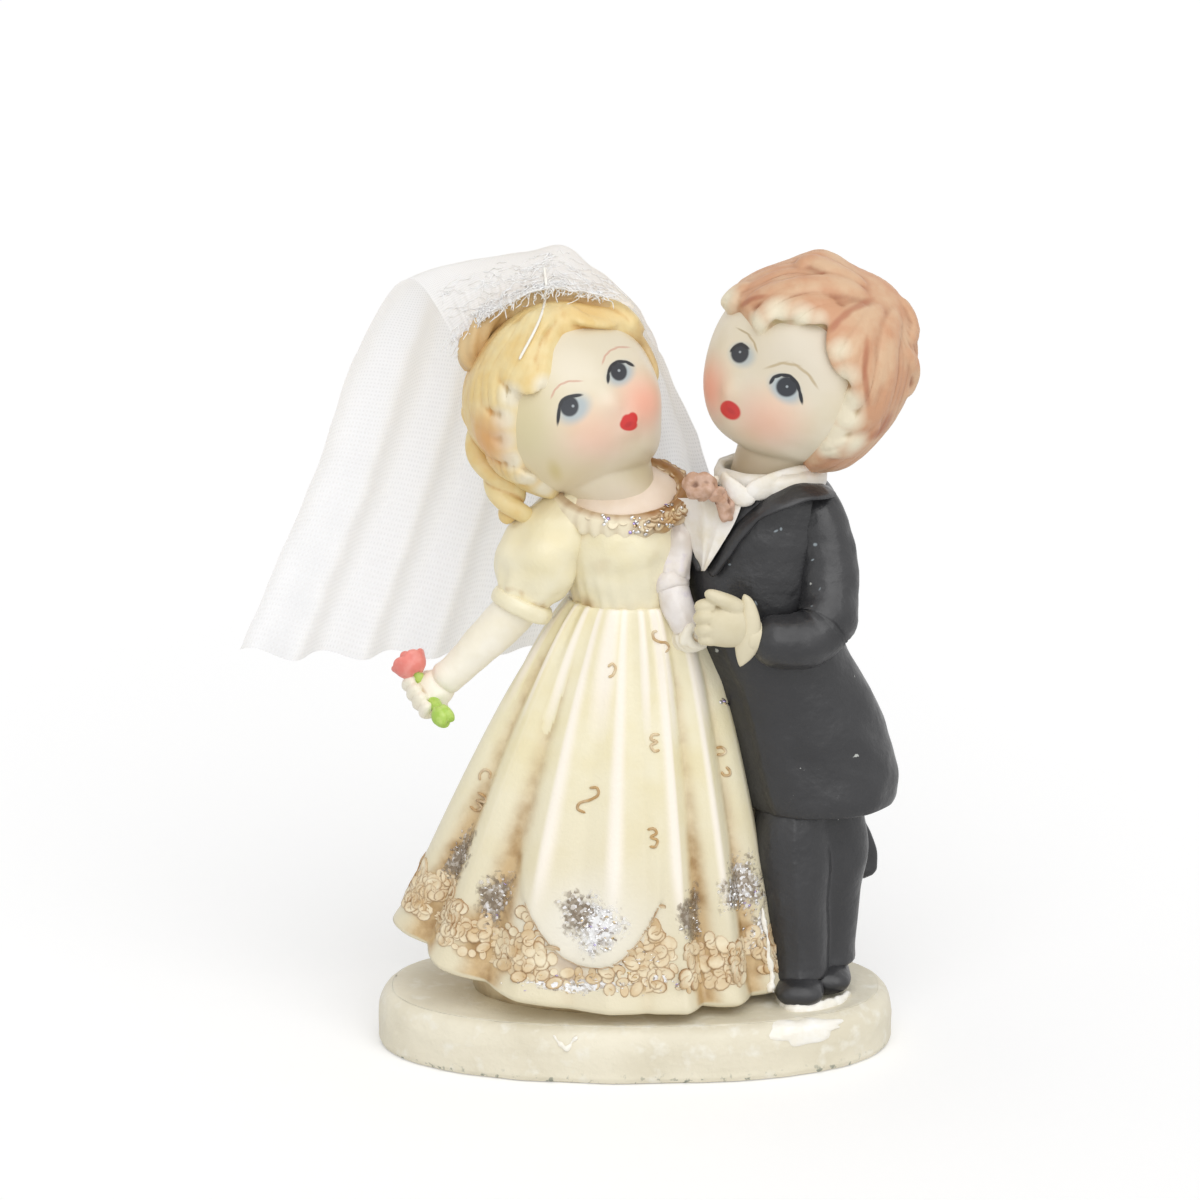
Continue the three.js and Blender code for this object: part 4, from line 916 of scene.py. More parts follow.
film_bm = bmesh.new()
stores(film_bm, "tint", "cover")
for u, v, half_u, half_v, lean, brightness in FILMS:
    photo_film(film_bm, skirt_surface, SKIRT_MIDDLE, (u, v), (half_u, half_v), lean, FILM_RISE,
               brightness)
finish_piece(film_bm, "glitter_glue_films", glitter_glue)
print("flakes on the skirt:", sum(patch[4] for patch in GLITTER))

# %% [markdown]
# ## Bodice, neckline and sleeves
# The bodice is a short waisted form, the sleeves are puffs gathered at the shoulder and at a
# band, and the neckline is a ruffle with a garland of the same rosettes as the lace. Gathers could
# be modelled fold by fold, but a ripple round the form that is strongest at the band is enough.

# %% Bodice
BRIDE_WAIST = Vector((BRIDE_X, 0, WAIST_Z))
BODICE = [(0, 0, -1, 7.3, 5.9), (-0.2, 0, 2, 7.1, 6), (-0.8, -0.2, 6, 7.3, 6.7), (-1, -0.3, 9, 7.3, 6.9),
          (-0.8, 0.1, 11.6, 7, 5.7), (-0.4, 0.8, 13, 6, 4)]


def bodice_ripple(share, turn):
    """Small darts that rise from the waist."""
    return 1 + 0.022 * math.cos(22 * turn + 2 * math.sin(3 * turn)) * (1 - smoothstep(0.1, 0.6, share))


bm = bmesh.new()
limb(bm, shifted(BODICE, BRIDE_WAIST), sides=120, rings=60, cap=0.1, swell=bodice_ripple)
rough_skin(bm, 0.22, 2.4)
wash, = stores(bm, "wash")
# Wash: brown blotches, and painted shade at the waist, by the right sleeve and under the neckline.
for vert in bm.verts:
    high = vert.co.z - WAIST_Z
    vert[wash] = 0.3 * (1 - smoothstep(0.5, 3.5, high)) + 0.5 * max(noise.noise(vert.co * 0.35), 0)
    vert[wash] += 0.25 * smoothstep(-3, -7, vert.co.x - BRIDE_X) + 0.2 * smoothstep(8, 12, high)
finish_piece(bm, "gown_bodice", pearl_gown, ["bride_bodice"])

# %% Neckline garland
GARLAND_HALF = (7.6, 6.1)
GARLAND_RADIUS = (1.15, 1.6)
GARLAND_PLACE = BRIDE_WAIST + Vector((-1.1, -0.6, 13.85))
GARLAND_TILT = math.radians(24)
GARLAND_RUFFLES = 22
GARLAND_ROSETTES = 150
garland_turn = Matrix.Rotation(GARLAND_TILT, 3, "X")


def garland_brown(turn):
    """How brown the garland is at a turn round the neck: cream at its right, gold at its left."""
    turn = (turn + math.pi) % (2 * math.pi) - math.pi
    return smoothstep(-1.6, -0.7, turn) * (1 - smoothstep(0.8, 1.8, turn))


garland_rng = random.Random(5)
bm = bmesh.new()
wash, gold = stores(bm, "wash", "gold")
there = (Matrix.Translation((GARLAND_HALF[0], 0, 0)) @ Matrix.Rotation(math.pi / 2, 4, "X")
         @ Matrix.Diagonal((*GARLAND_RADIUS, 1, 1)))
section = bmesh.ops.create_circle(bm, radius=1, segments=16, matrix=there)["verts"]
edges = list({edge for vert in section for edge in vert.link_edges})
bmesh.ops.spin(bm, geom=section + edges, cent=(0, 0, 0), axis=(0, 0, 1), angle=2 * math.pi,
               steps=260, use_merge=True)
bmesh.ops.scale(bm, vec=(1, GARLAND_HALF[1] / GARLAND_HALF[0], 1), verts=bm.verts)
for vert in bm.verts:
    turn = math.atan2(vert.co.y, vert.co.x)
    ruffle = math.cos(GARLAND_RUFFLES * turn + 2 * math.sin(3 * turn))
    brown = garland_brown(turn)
    edge = smoothstep(0.6, -1.2, vert.co.z)
    vert.co += Vector((math.cos(turn), math.sin(turn), 0)) * (0.24 * ruffle + 0.3) * edge
    vert[gold] = brown
    vert[wash] = 0.15 * max(-ruffle, 0) + 0.55 * smoothstep(1.2, 1.58, vert.co.z) + 0.45 * brown
for k in range(GARLAND_ROSETTES):
    turn = 2 * math.pi * k / GARLAND_ROSETTES + garland_rng.uniform(-0.03, 0.03)
    lean = math.radians(garland_rng.uniform(5, 120))
    brown = garland_brown(turn)
    if garland_rng.random() > 0.25 + brown:
        continue
    outward = Vector((math.cos(turn), math.sin(turn), 0))
    facing = outward * math.cos(lean) + Vector((0, 0, math.sin(lean)))
    middle = Vector((math.cos(turn) * GARLAND_HALF[0], math.sin(turn) * GARLAND_HALF[1], 0))
    size = garland_rng.uniform(0.5, 0.75) + 0.4 * brown
    rosette(bm, middle + facing * GARLAND_RADIUS[0], facing, size, turn * 7, 0.2 + 0.8 * brown, brown)
for vert in bm.verts:
    vert.co = garland_turn @ vert.co + GARLAND_PLACE
garland_surface = BVHTree.FromBMesh(bm)
finish_piece(bm, "neckline_garland", washed_lace, ["bride_neckline_garland"])
# Glitter on the garland, by its place in the photograph: middle, half-size and flakes.
GARLAND_GLITTER = [(662, 496, 9, 30), (640, 526, 10, 20), (605, 519, 6, 8), (670, 515, 12, 16)]
for u, v, half, flakes in GARLAND_GLITTER:
    for _ in range(flakes):
        spot, facing = photo_spot(garland_surface, u + glitter_rng.uniform(-half, half),
                                  v + glitter_rng.uniform(-half, half), GARLAND_PLACE)
        flake(spot, facing, 0)
finish_piece(glitter_bm, "glitter_flakes", craft_glitter)

# %% Sleeves and cuffs
# White pearl lacquer with a lilac cast, brushed over the arm that lies between the couple.
lilac_pearl = new_finish("lilac_pearl_lacquer", "#ece6e2", Roughness=0.3, IOR=1.5, Coat_Weight=0.4)
coats(lilac_pearl,
      (speckle(lilac_pearl, 3, 0.4, 0.66), "#dfd6cd"),
      (speckle(lilac_pearl, 2, 0.55, 0.72), "#d9d0d8"))
cast_texture(lilac_pearl, 0.9, 0.04)

RIGHT_SLEEVE = [(-4.6, -0.5, 12.4, 2.4, 2.4), (-7, -0.9, 11.2, 4.2, 4), (-9.8, -1.6, 7.6, 5.3, 5),
                (-11.7, -2.3, 4.2, 4.8, 4.6), (-12.8, -2.9, 1.8, 3.3, 3.2), (-13.1, -3, 0.8, 2.9, 2.9)]
LEFT_SLEEVE = [(3.9, -0.2, 12, 1.8, 2), (4.9, -1, 10.6, 2.4, 2.6), (5.3, -2.2, 8, 2.4, 2.7),
               (5.1, -3.3, 5.4, 2.2, 2.4), (4.9, -4.1, 3.8, 1.9, 2)]
SLEEVE_ACROSS = (0.8, 0, -0.6)
CUFF_RADIUS = {"right": 3.7, "left": 2.1}
# The cuff band: step along the arm in mm and share of the cuff's radius.
CUFF_PROFILE = [(-1.2, 0.72), (-0.9, 0.98), (-0.3, 1.05), (0.3, 1.05), (0.9, 0.98), (1.2, 0.74)]


def sleeve_gathers(share, turn):
    """Gathers that deepen towards the cuff and, less, towards the shoulder."""
    pull = smoothstep(0.5, 0.95, share) + 0.5 * (1 - smoothstep(0, 0.35, share))
    soft = 0.05 * math.cos(3 * turn + 5 * share)
    return 1 + soft + 0.06 * pull * math.cos(9 * turn + 2 * math.sin(2 * turn))


for side, stops, ahead, finish in (("right", RIGHT_SLEEVE, (-0.42, -0.1, -0.9), pearl_gown),
                                   ("left", LEFT_SLEEVE, (0.2, -0.5, -0.85), lilac_pearl)):
    bm = bmesh.new()
    wash, = stores(bm, "wash")
    limb(bm, shifted(stops, BRIDE_WAIST), across=SLEEVE_ACROSS, sides=72, rings=60, cap=0.12,
         swell=sleeve_gathers)
    rough_skin(bm, 0.5, 2.8)
    end, radius = Vector(stops[-1][:3]) + BRIDE_WAIST, CUFF_RADIUS[side]
    for vert in bm.verts:
        near_cuff = 1 - smoothstep(1.2, 2.6, (vert.co - end).length - radius * 0.6)
        patchy = max(0.1 + noise.noise(vert.co * 0.9), 0)
        vert[wash] = near_cuff * patchy + 0.3 * max(noise.noise(vert.co * 0.4), 0)
    finish_piece(bm, f"gown_{side}_sleeve", finish, [f"bride_{side}_sleeve"])
    ahead = Vector(ahead).normalized()
    band = [[*(end + ahead * t), radius * r, radius * r] for t, r in CUFF_PROFILE]
    limb_piece(band, f"gown_{side}_cuff", finish, "pearl_gown", [f"bride_{side}_cuff"],
               rough=(0.1, 1.6), across=SLEEVE_ACROSS, sides=60, rings=36, cap=0.14)

# %% [markdown]
# ## The bride's arms, hands and rose
# Bare arms and hands are the cream of the casting itself.
# A hand this small is a palm with four bent fingers and a thumb. Modelled finger by finger and
# then cast as one skin, the fingers melt together at their roots as they do in a mould.

# %% Bare cream resin


def bare_resin(name, light, dark, groove):
    """Unpainted resin: waxy, blotched in two creams, with painted shade in the creases."""
    finish = new_finish(name, light, Roughness=0.4, IOR=1.5)
    coats(finish,
          (speckle(finish, 4, 0.4, 0.7), dark),
          (vertex_mask(finish, "crease", 0.1, 1, easing="SMOOTHSTEP"), groove))
    cast_texture(finish, 0.6, 0.02)
    return finish


# The bride's limbs are clean and pale, the chest is blushed, and the groom's front hand is dull.
bare_cream = bare_resin("bare_cream_resin", "#f5efdf", "#efe7d0", "#c2a981")
blushed_cream = bare_resin("blushed_cream_resin", "#ecdccb", "#e6d3bd", "#bfa585")
dull_cream = bare_resin("handled_cream_resin", "#ddd3b6", "#d4c9a8", "#94825c")

# %% Bare shoulders
SHOULDERS_HALF = (7.3, 5.9, 2.7)
bm = bmesh.new()
for vert in bmesh.ops.create_uvsphere(bm, u_segments=64, v_segments=32, radius=1)["verts"]:
    plain = Vector([c * half for c, half in zip(vert.co, SHOULDERS_HALF)])
    vert.co = garland_turn @ plain + GARLAND_PLACE
rough_skin(bm, 0.08, 2)
finish_piece(bm, "bride_bare_shoulders", blushed_cream, creases=(8, 0.3))

# %% Arms
RIGHT_FOREARM = [(-12.2, -2.8, 2.4, 2.7, 2.7), (-15, -3.2, -1, 2.7, 2.6), (-18.4, -3.6, -4.4, 2.4, 2.3),
                 (-21, -3.9, -7, 2.05, 2), (-23.4, -4.05, -9, 2.2, 2.1)]
LEFT_FOREARM = [(4.9, -4.2, 4, 1.9, 1.9), (5.6, -5, 1.5, 2, 2), (6.5, -5.7, -0.6, 1.8, 1.8),
                (7, -6, -1.7, 1.7, 1.7)]
for side, stops, finish in (("right", RIGHT_FOREARM, bare_cream), ("left", LEFT_FOREARM, lilac_pearl)):
    limb_piece(shifted(stops, BRIDE_WAIST), f"bride_{side}_bare_arm", finish, "skin",
               [f"bride_{side}_forearm"], rough=(0.08, 1.5), creases=(20, 0.2),
               sides=32, rings=36, cap=0.12)

# %% Fists
# A fist's palm: place along the grip and width. Its thumb: places along the reach, outwards and
# along the grip, and width. Places and the palm's widths are in radii of the palm.
PALM_PROFILE = [(-1.05, 0.4), (-0.6, 0.82), (0, 0.9), (0.6, 0.82), (1.05, 0.4)]
THUMB_PATH = [(0.7, 0.1, 0.8, 1.1), (0.4, 0.7, 0.95, 1.05), (-0.2, 0.95, 0.7, 0.95),
              (-0.6, 0.9, 0.4, 0.8)]
FINGER_BENDS = (20, 65, 110, 160, 205, 240)
FIST_VOXEL = 0.16


def curled_fist(middle, grip, reach, palm_radius, finger_radius):
    """Four fingers and a thumb bent round a grip line, on a palm. Reach points to the palm."""
    fist = bmesh.new()
    grip, reach = Vector(grip).normalized(), Vector(reach)
    reach = (reach - grip * grip.dot(reach)).normalized()
    out = grip.cross(reach)
    palm = [[*(middle + reach * palm_radius * 0.45 + grip * palm_radius * t), palm_radius * w,
             palm_radius * w * 0.8] for t, w in PALM_PROFILE]
    limb(fist, palm, across=reach, sides=20, rings=20, cap=0.25)
    for k in range(4):
        along_grip = grip * finger_radius * 1.75 * (k - 1.5)
        thick = finger_radius * (1.05 if k in (1, 2) else 0.9)
        path = []
        for bend in FINGER_BENDS:
            turn = math.radians(bend)
            spoke = reach * math.cos(turn) + out * math.sin(turn)
            path.append([*(middle + along_grip + spoke * palm_radius * 0.72), thick, thick])
        limb(fist, path, across=grip, sides=12, rings=18, cap=0.15)
    thumb = []
    for a, b, c, w in THUMB_PATH:
        spot = middle + reach * palm_radius * a + out * palm_radius * b + grip * palm_radius * c
        thumb.append([*spot, finger_radius * w, finger_radius * w])
    limb(fist, thumb, across=grip, sides=12, rings=16, cap=0.18)
    return cast_as_one(fist, FIST_VOXEL, 3)


RIGHT_FIST = BRIDE_WAIST + Vector((-24.6, -4.3, -9.8))
LEFT_FIST = BRIDE_WAIST + Vector((7.3, -6.1, -2.4))
ROSE_BLOOM = BRIDE_WAIST + Vector((-26.7, -4, -6.4))
ROSE_STEM_END = BRIDE_WAIST + Vector((-23, -7.6, -11.3))
for side, middle, grip, reach, palm, finger in (
        ("right", RIGHT_FIST, ROSE_BLOOM - ROSE_STEM_END, (0.7, 0.6, 0.5), 2.4, 0.78),
        ("left", LEFT_FIST, (0.3, -0.5, 0.2), (0, 0.2, 1), 1.8, 0.6)):
    finish_piece(curled_fist(middle, grip, reach, palm, finger), f"bride_{side}_closed_hand",
                 bare_cream, [f"bride_{side}_fist"], creases=(12, 0.18))

# %% Rose
# Thin pink enamel, darker in the hollows between the petals as painted shade, so that the petal
# edges read paler; and leaf green on the stem and bud.
rose_pink = new_finish("rose_pink_enamel", "#e8857a", Roughness=0.4, IOR=1.5)
coats(rose_pink,
      (speckle(rose_pink, 1.2, 0.4, 0.7), "#ef9f95"),
      (vertex_mask(rose_pink, "crease", -0.2, 0.8), "#cf6462"))
leaf_green = new_finish("leaf_green_enamel", "#a9cc55", Roughness=0.35, IOR=1.5)
coats(leaf_green, (speckle(leaf_green, 1, 0.45, 0.7), "#c3dd78"))

# Rings of petals: how many, the first one's turn, their thickness, sides and rings of the skin,
# and the petal's reach, height and half-width in mm.
PETAL_RINGS = [
    (6, 0, 0.42, 14, 16, [(0.35, -1.5, 0.5), (1.35, -0.7, 1.05), (1.75, 0.3, 1.2), (2.1, 1, 0.6)]),
    (3, 0.3, 0.4, 12, 14, [(0.2, -1, 0.5), (0.75, 0.3, 0.9), (0.7, 1.7, 0.5)])]
LEAF = [(-0.6, 0.2, 0.5), (0.3, 0.7, 1.1), (1.2, 0.75, 1.0), (1.9, 0.3, 0.4)]
LEAF_TURNS = (0, 120, 240)
STEM_RADIUS = 0.75
ROSE_VOXEL = 0.13
bloom = bmesh.new()
rose_axis = (ROSE_BLOOM - ROSE_STEM_END).normalized()
rose_side = rose_axis.cross(Vector((0, -1, 0.2))).normalized()
rose_front = rose_axis.cross(rose_side)
for petals, first, thick, sides, rings, profile in PETAL_RINGS:
    for k in range(petals):
        turn = 2 * math.pi * (k + first) / petals
        spoke = rose_side * math.cos(turn) + rose_front * math.sin(turn)
        petal = [[*(ROSE_BLOOM + spoke * r + rose_axis * h), w, thick] for r, h, w in profile]
        limb(bloom, petal, across=rose_axis.cross(spoke), sides=sides, rings=rings, cap=0.2)
finish_piece(cast_as_one(bloom, ROSE_VOXEL, 2), "rose_bloom_petals", rose_pink,
             ["rose_bloom"], creases=(14, 0.2))

stem = bmesh.new()
limb(stem, [[*spot, STEM_RADIUS, STEM_RADIUS] for spot in (ROSE_BLOOM, RIGHT_FIST, ROSE_STEM_END)],
     sides=14, rings=24, cap=0.1)
for turn in LEAF_TURNS:
    spoke = Matrix.Rotation(math.radians(turn), 3, rose_axis) @ rose_side
    leaf = [[*(ROSE_STEM_END - rose_axis * a + spoke * b), w, 0.55] for a, b, w in LEAF]
    limb(stem, leaf, across=rose_axis.cross(spoke), sides=14, rings=16, cap=0.2)
finish_piece(cast_as_one(stem, ROSE_VOXEL, 3), "rose_stem_and_leaf", leaf_green,
             ["rose_stem"])

# %% [markdown]
# ## Heads and painted faces
# Both heads are smooth doll's heads: round, with full cheeks, a dot of a nose and a small mouth.
# Each starts as a ball of even triangles, and its features are pressed in and out where the
# photograph shows them. The faces are brush painted. A picture texture could hold the paint, but
# dabs that the material works out stay sharp at any size: each dab is an ellipse that is placed
# by its middle in the photograph, and a line is a row of long thin dabs, like brush strokes.

# %% Heads


class Head:
    """A doll's head: a ball with a middle, a radius, and a turn about three axes."""

    def __init__(self, middle, radius, yaw, pitch, roll):
        self.middle, self.radius = Vector(middle), radius
        self.turn = (Matrix.Rotation(math.radians(yaw), 3, "Z")
                     @ Matrix.Rotation(math.radians(pitch), 3, "X")
                     @ Matrix.Rotation(math.radians(roll), 3, "Y"))

    def ball(self, bm):
        """Adds a ball of even triangles that is the plain head."""
        there = Matrix.Translation(self.middle)
        made = bmesh.ops.create_icosphere(bm, subdivisions=6, radius=self.radius, matrix=there)
        return made["verts"]


BRIDE = Head((-8.55, 0, 81.4), 11.2, 15, -22, -36)
GROOM = Head((20.2, 0, 85.6), 11.7, -20, -16, 36)
# Features: photo pixel, rise in mm (below zero is a hollow) and spread in mm.
BRIDE_FEATURES = [(612, 404, 0.5, 1.4), (629, 422, 0.5, 1.9), (634, 454, 0.6, 3), (592, 436, 0.5, 4.5),
                  (650, 450, 1.3, 3.4), (652, 402, 0.7, 3.6), (573, 408, -0.35, 2.3),
                  (620, 373, -0.35, 2.2), (600, 482, -0.8, 5)]
GROOM_FEATURES = [(731, 391, 0.6, 1.4), (730, 410, 0.45, 1.9), (744, 436, 0.6, 3), (712, 389, 0.7, 4),
                  (715, 425, 0.9, 3.5), (768, 420, 0.6, 4.5), (741, 354, -0.35, 2.2),
                  (786, 388, -0.35, 2.5)]
HEAD_VOXEL = 0.26
BRIDE_NECK = [(-7.6, -0.4, 78, 6, 4.6), (-4.2, -0.6, 73.5, 6, 4.4), (-2.4, -0.8, 69.6, 4.9, 4),
              (-1.4, -0.9, 65.5, 4.6, 4.2)]
GROOM_NECK = [(19, 0, 80, 5.4, 5), (17.2, 0, 75, 5.1, 4.9), (16, 0, 71, 5, 4.9), (15.2, 0, 67, 5, 4.9)]


def sculpted_head(head, features, neck):
    """The bare head with its neck, and the surface that paint and hair are set on."""
    bm = bmesh.new()
    skin = head.ball(bm)
    plain = BVHTree.FromBMesh(bm)
    spots = [(photo_spot(plain, u, v, head.middle)[0], rise, spread) for u, v, rise, spread in features]
    for vert in skin:
        away = (vert.co - head.middle).normalized()
        vert.co += away * sum(rise * math.exp(-((vert.co - spot).length / spread) ** 2)
                              for spot, rise, spread in spots)
    limb(bm, neck, sides=32, rings=24, cap=0.1)
    cast = cast_as_one(bm, HEAD_VOXEL, 3)
    return cast, BVHTree.FromBMesh(cast)


bride_head_bm, bride_skin = sculpted_head(BRIDE, BRIDE_FEATURES, BRIDE_NECK)
groom_head_bm, groom_skin = sculpted_head(GROOM, GROOM_FEATURES, GROOM_NECK)
print("head faces", len(bride_head_bm.faces), len(groom_head_bm.faces))

# %% Face paint
STROKE_OVERLAP = 0.66


def stroke(pixels, width, colour, soft, strength):
    """A brush line through photo pixels, as rows of long thin dabs that overlap a little."""
    rows = []
    for (u0, v0), (u1, v1) in zip(pixels, pixels[1:]):
        half = math.hypot(u1 - u0, v1 - v0) * STROKE_OVERLAP
        lean = math.degrees(math.atan2(v0 - v1, u1 - u0))
        rows.append(((u0 + u1) / 2, (v0 + v1) / 2, half, width / 2, lean, colour, soft, strength))
    return rows


def painted_face(name, skin, head, rows, strokes):
    """Cream doll's skin with its dabs and strokes, laid on in order."""
    finish = new_finish(name, "#e9dfc9", Roughness=0.34, IOR=1.5)
    coats(finish, (speckle(finish, 6, 0.4, 0.7), "#e3d7bb"))
    lines = [row for line in strokes for row in stroke(*line)]
    dabs(finish, skin, head.middle, rows["under"] + lines + rows["over"])
    return finish


EYE_BLUE, LASH, IRIS, GLINT = "#a9b9c0", "#2b2c30", "#35383e", "#aab2b6"
LIP, LIP_SHADE, BLUSH, BROW, OLIVE = "#d63a38", "#b92c30", "#f9ad95", "#cf9c86", "#b9a57f"
# Dabs lie under or over the strokes: photo pixel, half-sizes in pixels, lean, colour, softness,
# strength. Strokes: photo pixels, width in pixels, colour, softness, strength.
# In the bride's dabs, the cream ones under the fringe, on the neck, low on the left of the face and under
# the jaw are painted shade; the one at the face's left edge is painted shade and yellowing.
BRIDE_DABS = {
    "under": [(600, 345, 46, 26, 0, "#ddd2b8", 0.9, 0.7), (622, 505, 26, 20, 0, "#cdbda6", 0.8, 0.6),
              (644, 403, 25, 23, 0, BLUSH, 0.95, 0.75), (596, 437, 32, 26, 0, BLUSH, 0.95, 0.42),
              (526, 432, 30, 50, 0, "#d6c996", 0.95, 0.7), (560, 476, 40, 22, 0, "#dccaa0", 0.95, 0.7),
              (555, 471, 5, 9, 25, "#c9b565", 0.9, 0.45), (574.5, 409, 16, 11.5, 38, EYE_BLUE, 0.45, 0.85),
              (620.5, 373.5, 14.4, 10.4, 39, EYE_BLUE, 0.45, 0.85),
              (642, 470, 26, 15, -20, "#c9bb96", 0.9, 0.7), (569.3, 406.3, 9, 9.8, 0, IRIS, 0.14, 1),
              (618.7, 371.5, 8.2, 9.2, 0, IRIS, 0.14, 1)],
    "over": [(573, 406, 1.3, 1.3, 0, GLINT, 0.5, 0.9), (619, 370.5, 1.3, 1.3, 0, GLINT, 0.5, 0.9),
             (632.4, 419, 5.2, 6.6, -10, LIP, 0.16, 1), (626.3, 424, 6.4, 5.6, 20, LIP, 0.16, 1),
             (629.8, 425.5, 7.6, 5, 10, LIP, 0.16, 1), (628.4, 421.4, 6.6, 7, 40, LIP, 0.16, 1),
             (628.5, 424.5, 4, 2.2, 30, LIP_SHADE, 0.6, 0.6)]}
BRIDE_STROKES = [
    ([(580.5, 395), (569.3, 396.4), (562.4, 400), (559.5, 406.5), (557.8, 422)], 3.6, LASH, 0.3, 1),
    ([(633, 365.4), (625.7, 361.6), (617, 361.6), (611, 366), (608.4, 373), (608, 382)], 3.4, LASH, 0.3, 1),
    ([(551.5, 397), (554.7, 390.1), (560.2, 384.6), (568.5, 381.3), (580, 381)], 2, BROW, 0.5, 0.7),
    ([(602.6, 363), (605, 356.1), (609.9, 350.9), (617.4, 347.4), (628, 346.8)], 2, BROW, 0.5, 0.7)]
# In the groom's dabs, the cream one under the fringe and the brown one on the neck are painted shade.
GROOM_DABS = {
    "under": [(800, 350, 48, 40, 0, "#d8cebc", 0.9, 0.75), (745, 470, 44, 20, 0, "#b29c7c", 0.8, 0.7),
              (708, 389, 22, 24, 0, BLUSH, 0.95, 0.85), (766, 422, 30, 26, 0, BLUSH, 0.95, 0.5),
              (742, 355, 12.5, 10.5, -37, EYE_BLUE, 0.45, 0.75),
              (785, 389, 16.5, 10.8, -38, EYE_BLUE, 0.4, 0.85),
              (739.9, 353, 8.6, 9.8, 0, IRIS, 0.14, 1), (786.8, 386.8, 10.2, 9.6, 0, IRIS, 0.14, 1)],
    "over": [(740, 352, 1.1, 1.1, 0, GLINT, 0.5, 0.9), (787, 386.6, 1.2, 1.2, 0, GLINT, 0.5, 0.9),
             (730.4, 410.4, 10.8, 7.9, -38, LIP, 0.14, 1), (727.8, 408.3, 7, 7, 0, LIP, 0.14, 1),
             (731, 411, 4.4, 2.2, -40, LIP_SHADE, 0.6, 0.5)]}
# The groom's olive brow strokes are brow paint and also painted shade in the brow creases.
GROOM_STROKES = [
    ([(731, 351), (735.5, 346.2), (741.6, 343.8), (748, 348.6)], 3.2, LASH, 0.3, 1),
    ([(770.4, 383), (774, 377), (781.5, 374.8), (790, 376), (797, 383), (799.6, 391.5), (802, 402)],
     3.6, LASH, 0.3, 1),
    ([(739, 328.5), (748.4, 334.6), (754.2, 343), (756.8, 351)], 1.9, OLIVE, 0.5, 0.85),
    ([(769, 367), (783, 363), (796.5, 365.4), (808.4, 374.6), (816, 385.4)], 2.6, OLIVE, 0.6, 0.75)]
bride_face = painted_face("painted_bride_face", bride_skin, BRIDE, BRIDE_DABS, BRIDE_STROKES)
groom_face = painted_face("painted_groom_face", groom_skin, GROOM, GROOM_DABS, GROOM_STROKES)
finish_piece(bride_head_bm, "bride_painted_head", bride_face, ["bride_head"])
finish_piece(groom_head_bm, "groom_painted_head", groom_face, ["groom_head"])

# %% [markdown]
# ## Hair
# The hair is cast in thick locks and painted with a thin wash that settles in the grooves, so
# that some locks near the faces stay the cream of the resin. Strands of hair would be wrong here.
# Each lock is a flat limb that follows pixels of the photograph over the head, a cap lies below
# the locks, and everything is cast into one skin whose grooves take the darker wash and painted
# shade.

# %% Hair washes


def hair_wash_and_shade(name, pale, body, groove_wash_and_shade, roughness):
    """A thin paint on cream resin: body colour in blotches, darker where the form is sunk as wash
    and painted shade, and none where the mesh stores a bare patch, whose cream still takes painted
    shade in the grooves."""
    finish = new_finish(name, body, Roughness=roughness, IOR=1.5)
    grooves = vertex_mask(finish, "crease", -0.15, 0.8, easing="SMOOTHSTEP")
    cream = {0: grooves, 6: to_linear("#ece2c8"), 7: to_linear("#b9a67c")}
    bare = add_node(finish.node_tree, "ShaderNodeMix", {"data_type": "RGBA"}, cream)
    coats(finish,
          (speckle(finish, 4, 0.38, 0.62), pale),
          (grooves, groove_wash_and_shade),
          (vertex_mask(finish, "bare"), bare.outputs[2]))
    cast_texture(finish, 0.7, 0.03)
    return finish


# Yellow, ginger and tan: satin washes, darker in the grooves as wash and painted shade. The roll's
# tan is partly its paint and partly painted shade of the blond hair under the veil.
blond_wash = hair_wash_and_shade("blond_wash_on_resin", "#ecd9a4", "#e6c988", "#cc9c58", 0.42)
ginger_wash = hair_wash_and_shade("ginger_wash_on_resin", "#d9b592", "#cf9c78", "#a0694a", 0.5)
tan_roll = hair_wash_and_shade("tan_wash_and_painted_shade_on_resin", "#dac294", "#cfae7c", "#a8834f", 0.5)
HAIR_VOXEL = 0.25
# How deep the edge of a cap of hair goes into the head.
HAIR_SUNK = 1

# %% Hair helpers


def face_map(head, spot):
    """A spot round a head as degrees right and up from the middle of its face."""
    local = head.turn.transposed() @ (spot - head.middle).normalized()
    away = math.degrees(math.acos(max(-1, min(1, -local.y))))
    bearing = math.atan2(local.z, local.x)
    return Vector((away * math.cos(bearing), away * math.sin(bearing)))


def outside(point, outline):
    """How far a point lies outside a closed outline, below zero inside it."""
    nearest, inside = math.inf, False
    for a, b in zip(outline, outline[1:] + outline[:1]):
        side, reach = b - a, point - a
        share = min(max(reach.dot(side) / side.length_squared, 0), 1)
        nearest = min(nearest, (reach - side * share).length)
        if (a.y > point.y) != (b.y > point.y) and reach.x < reach.y * side.x / side.y:
            inside = not inside
    return -nearest if inside else nearest


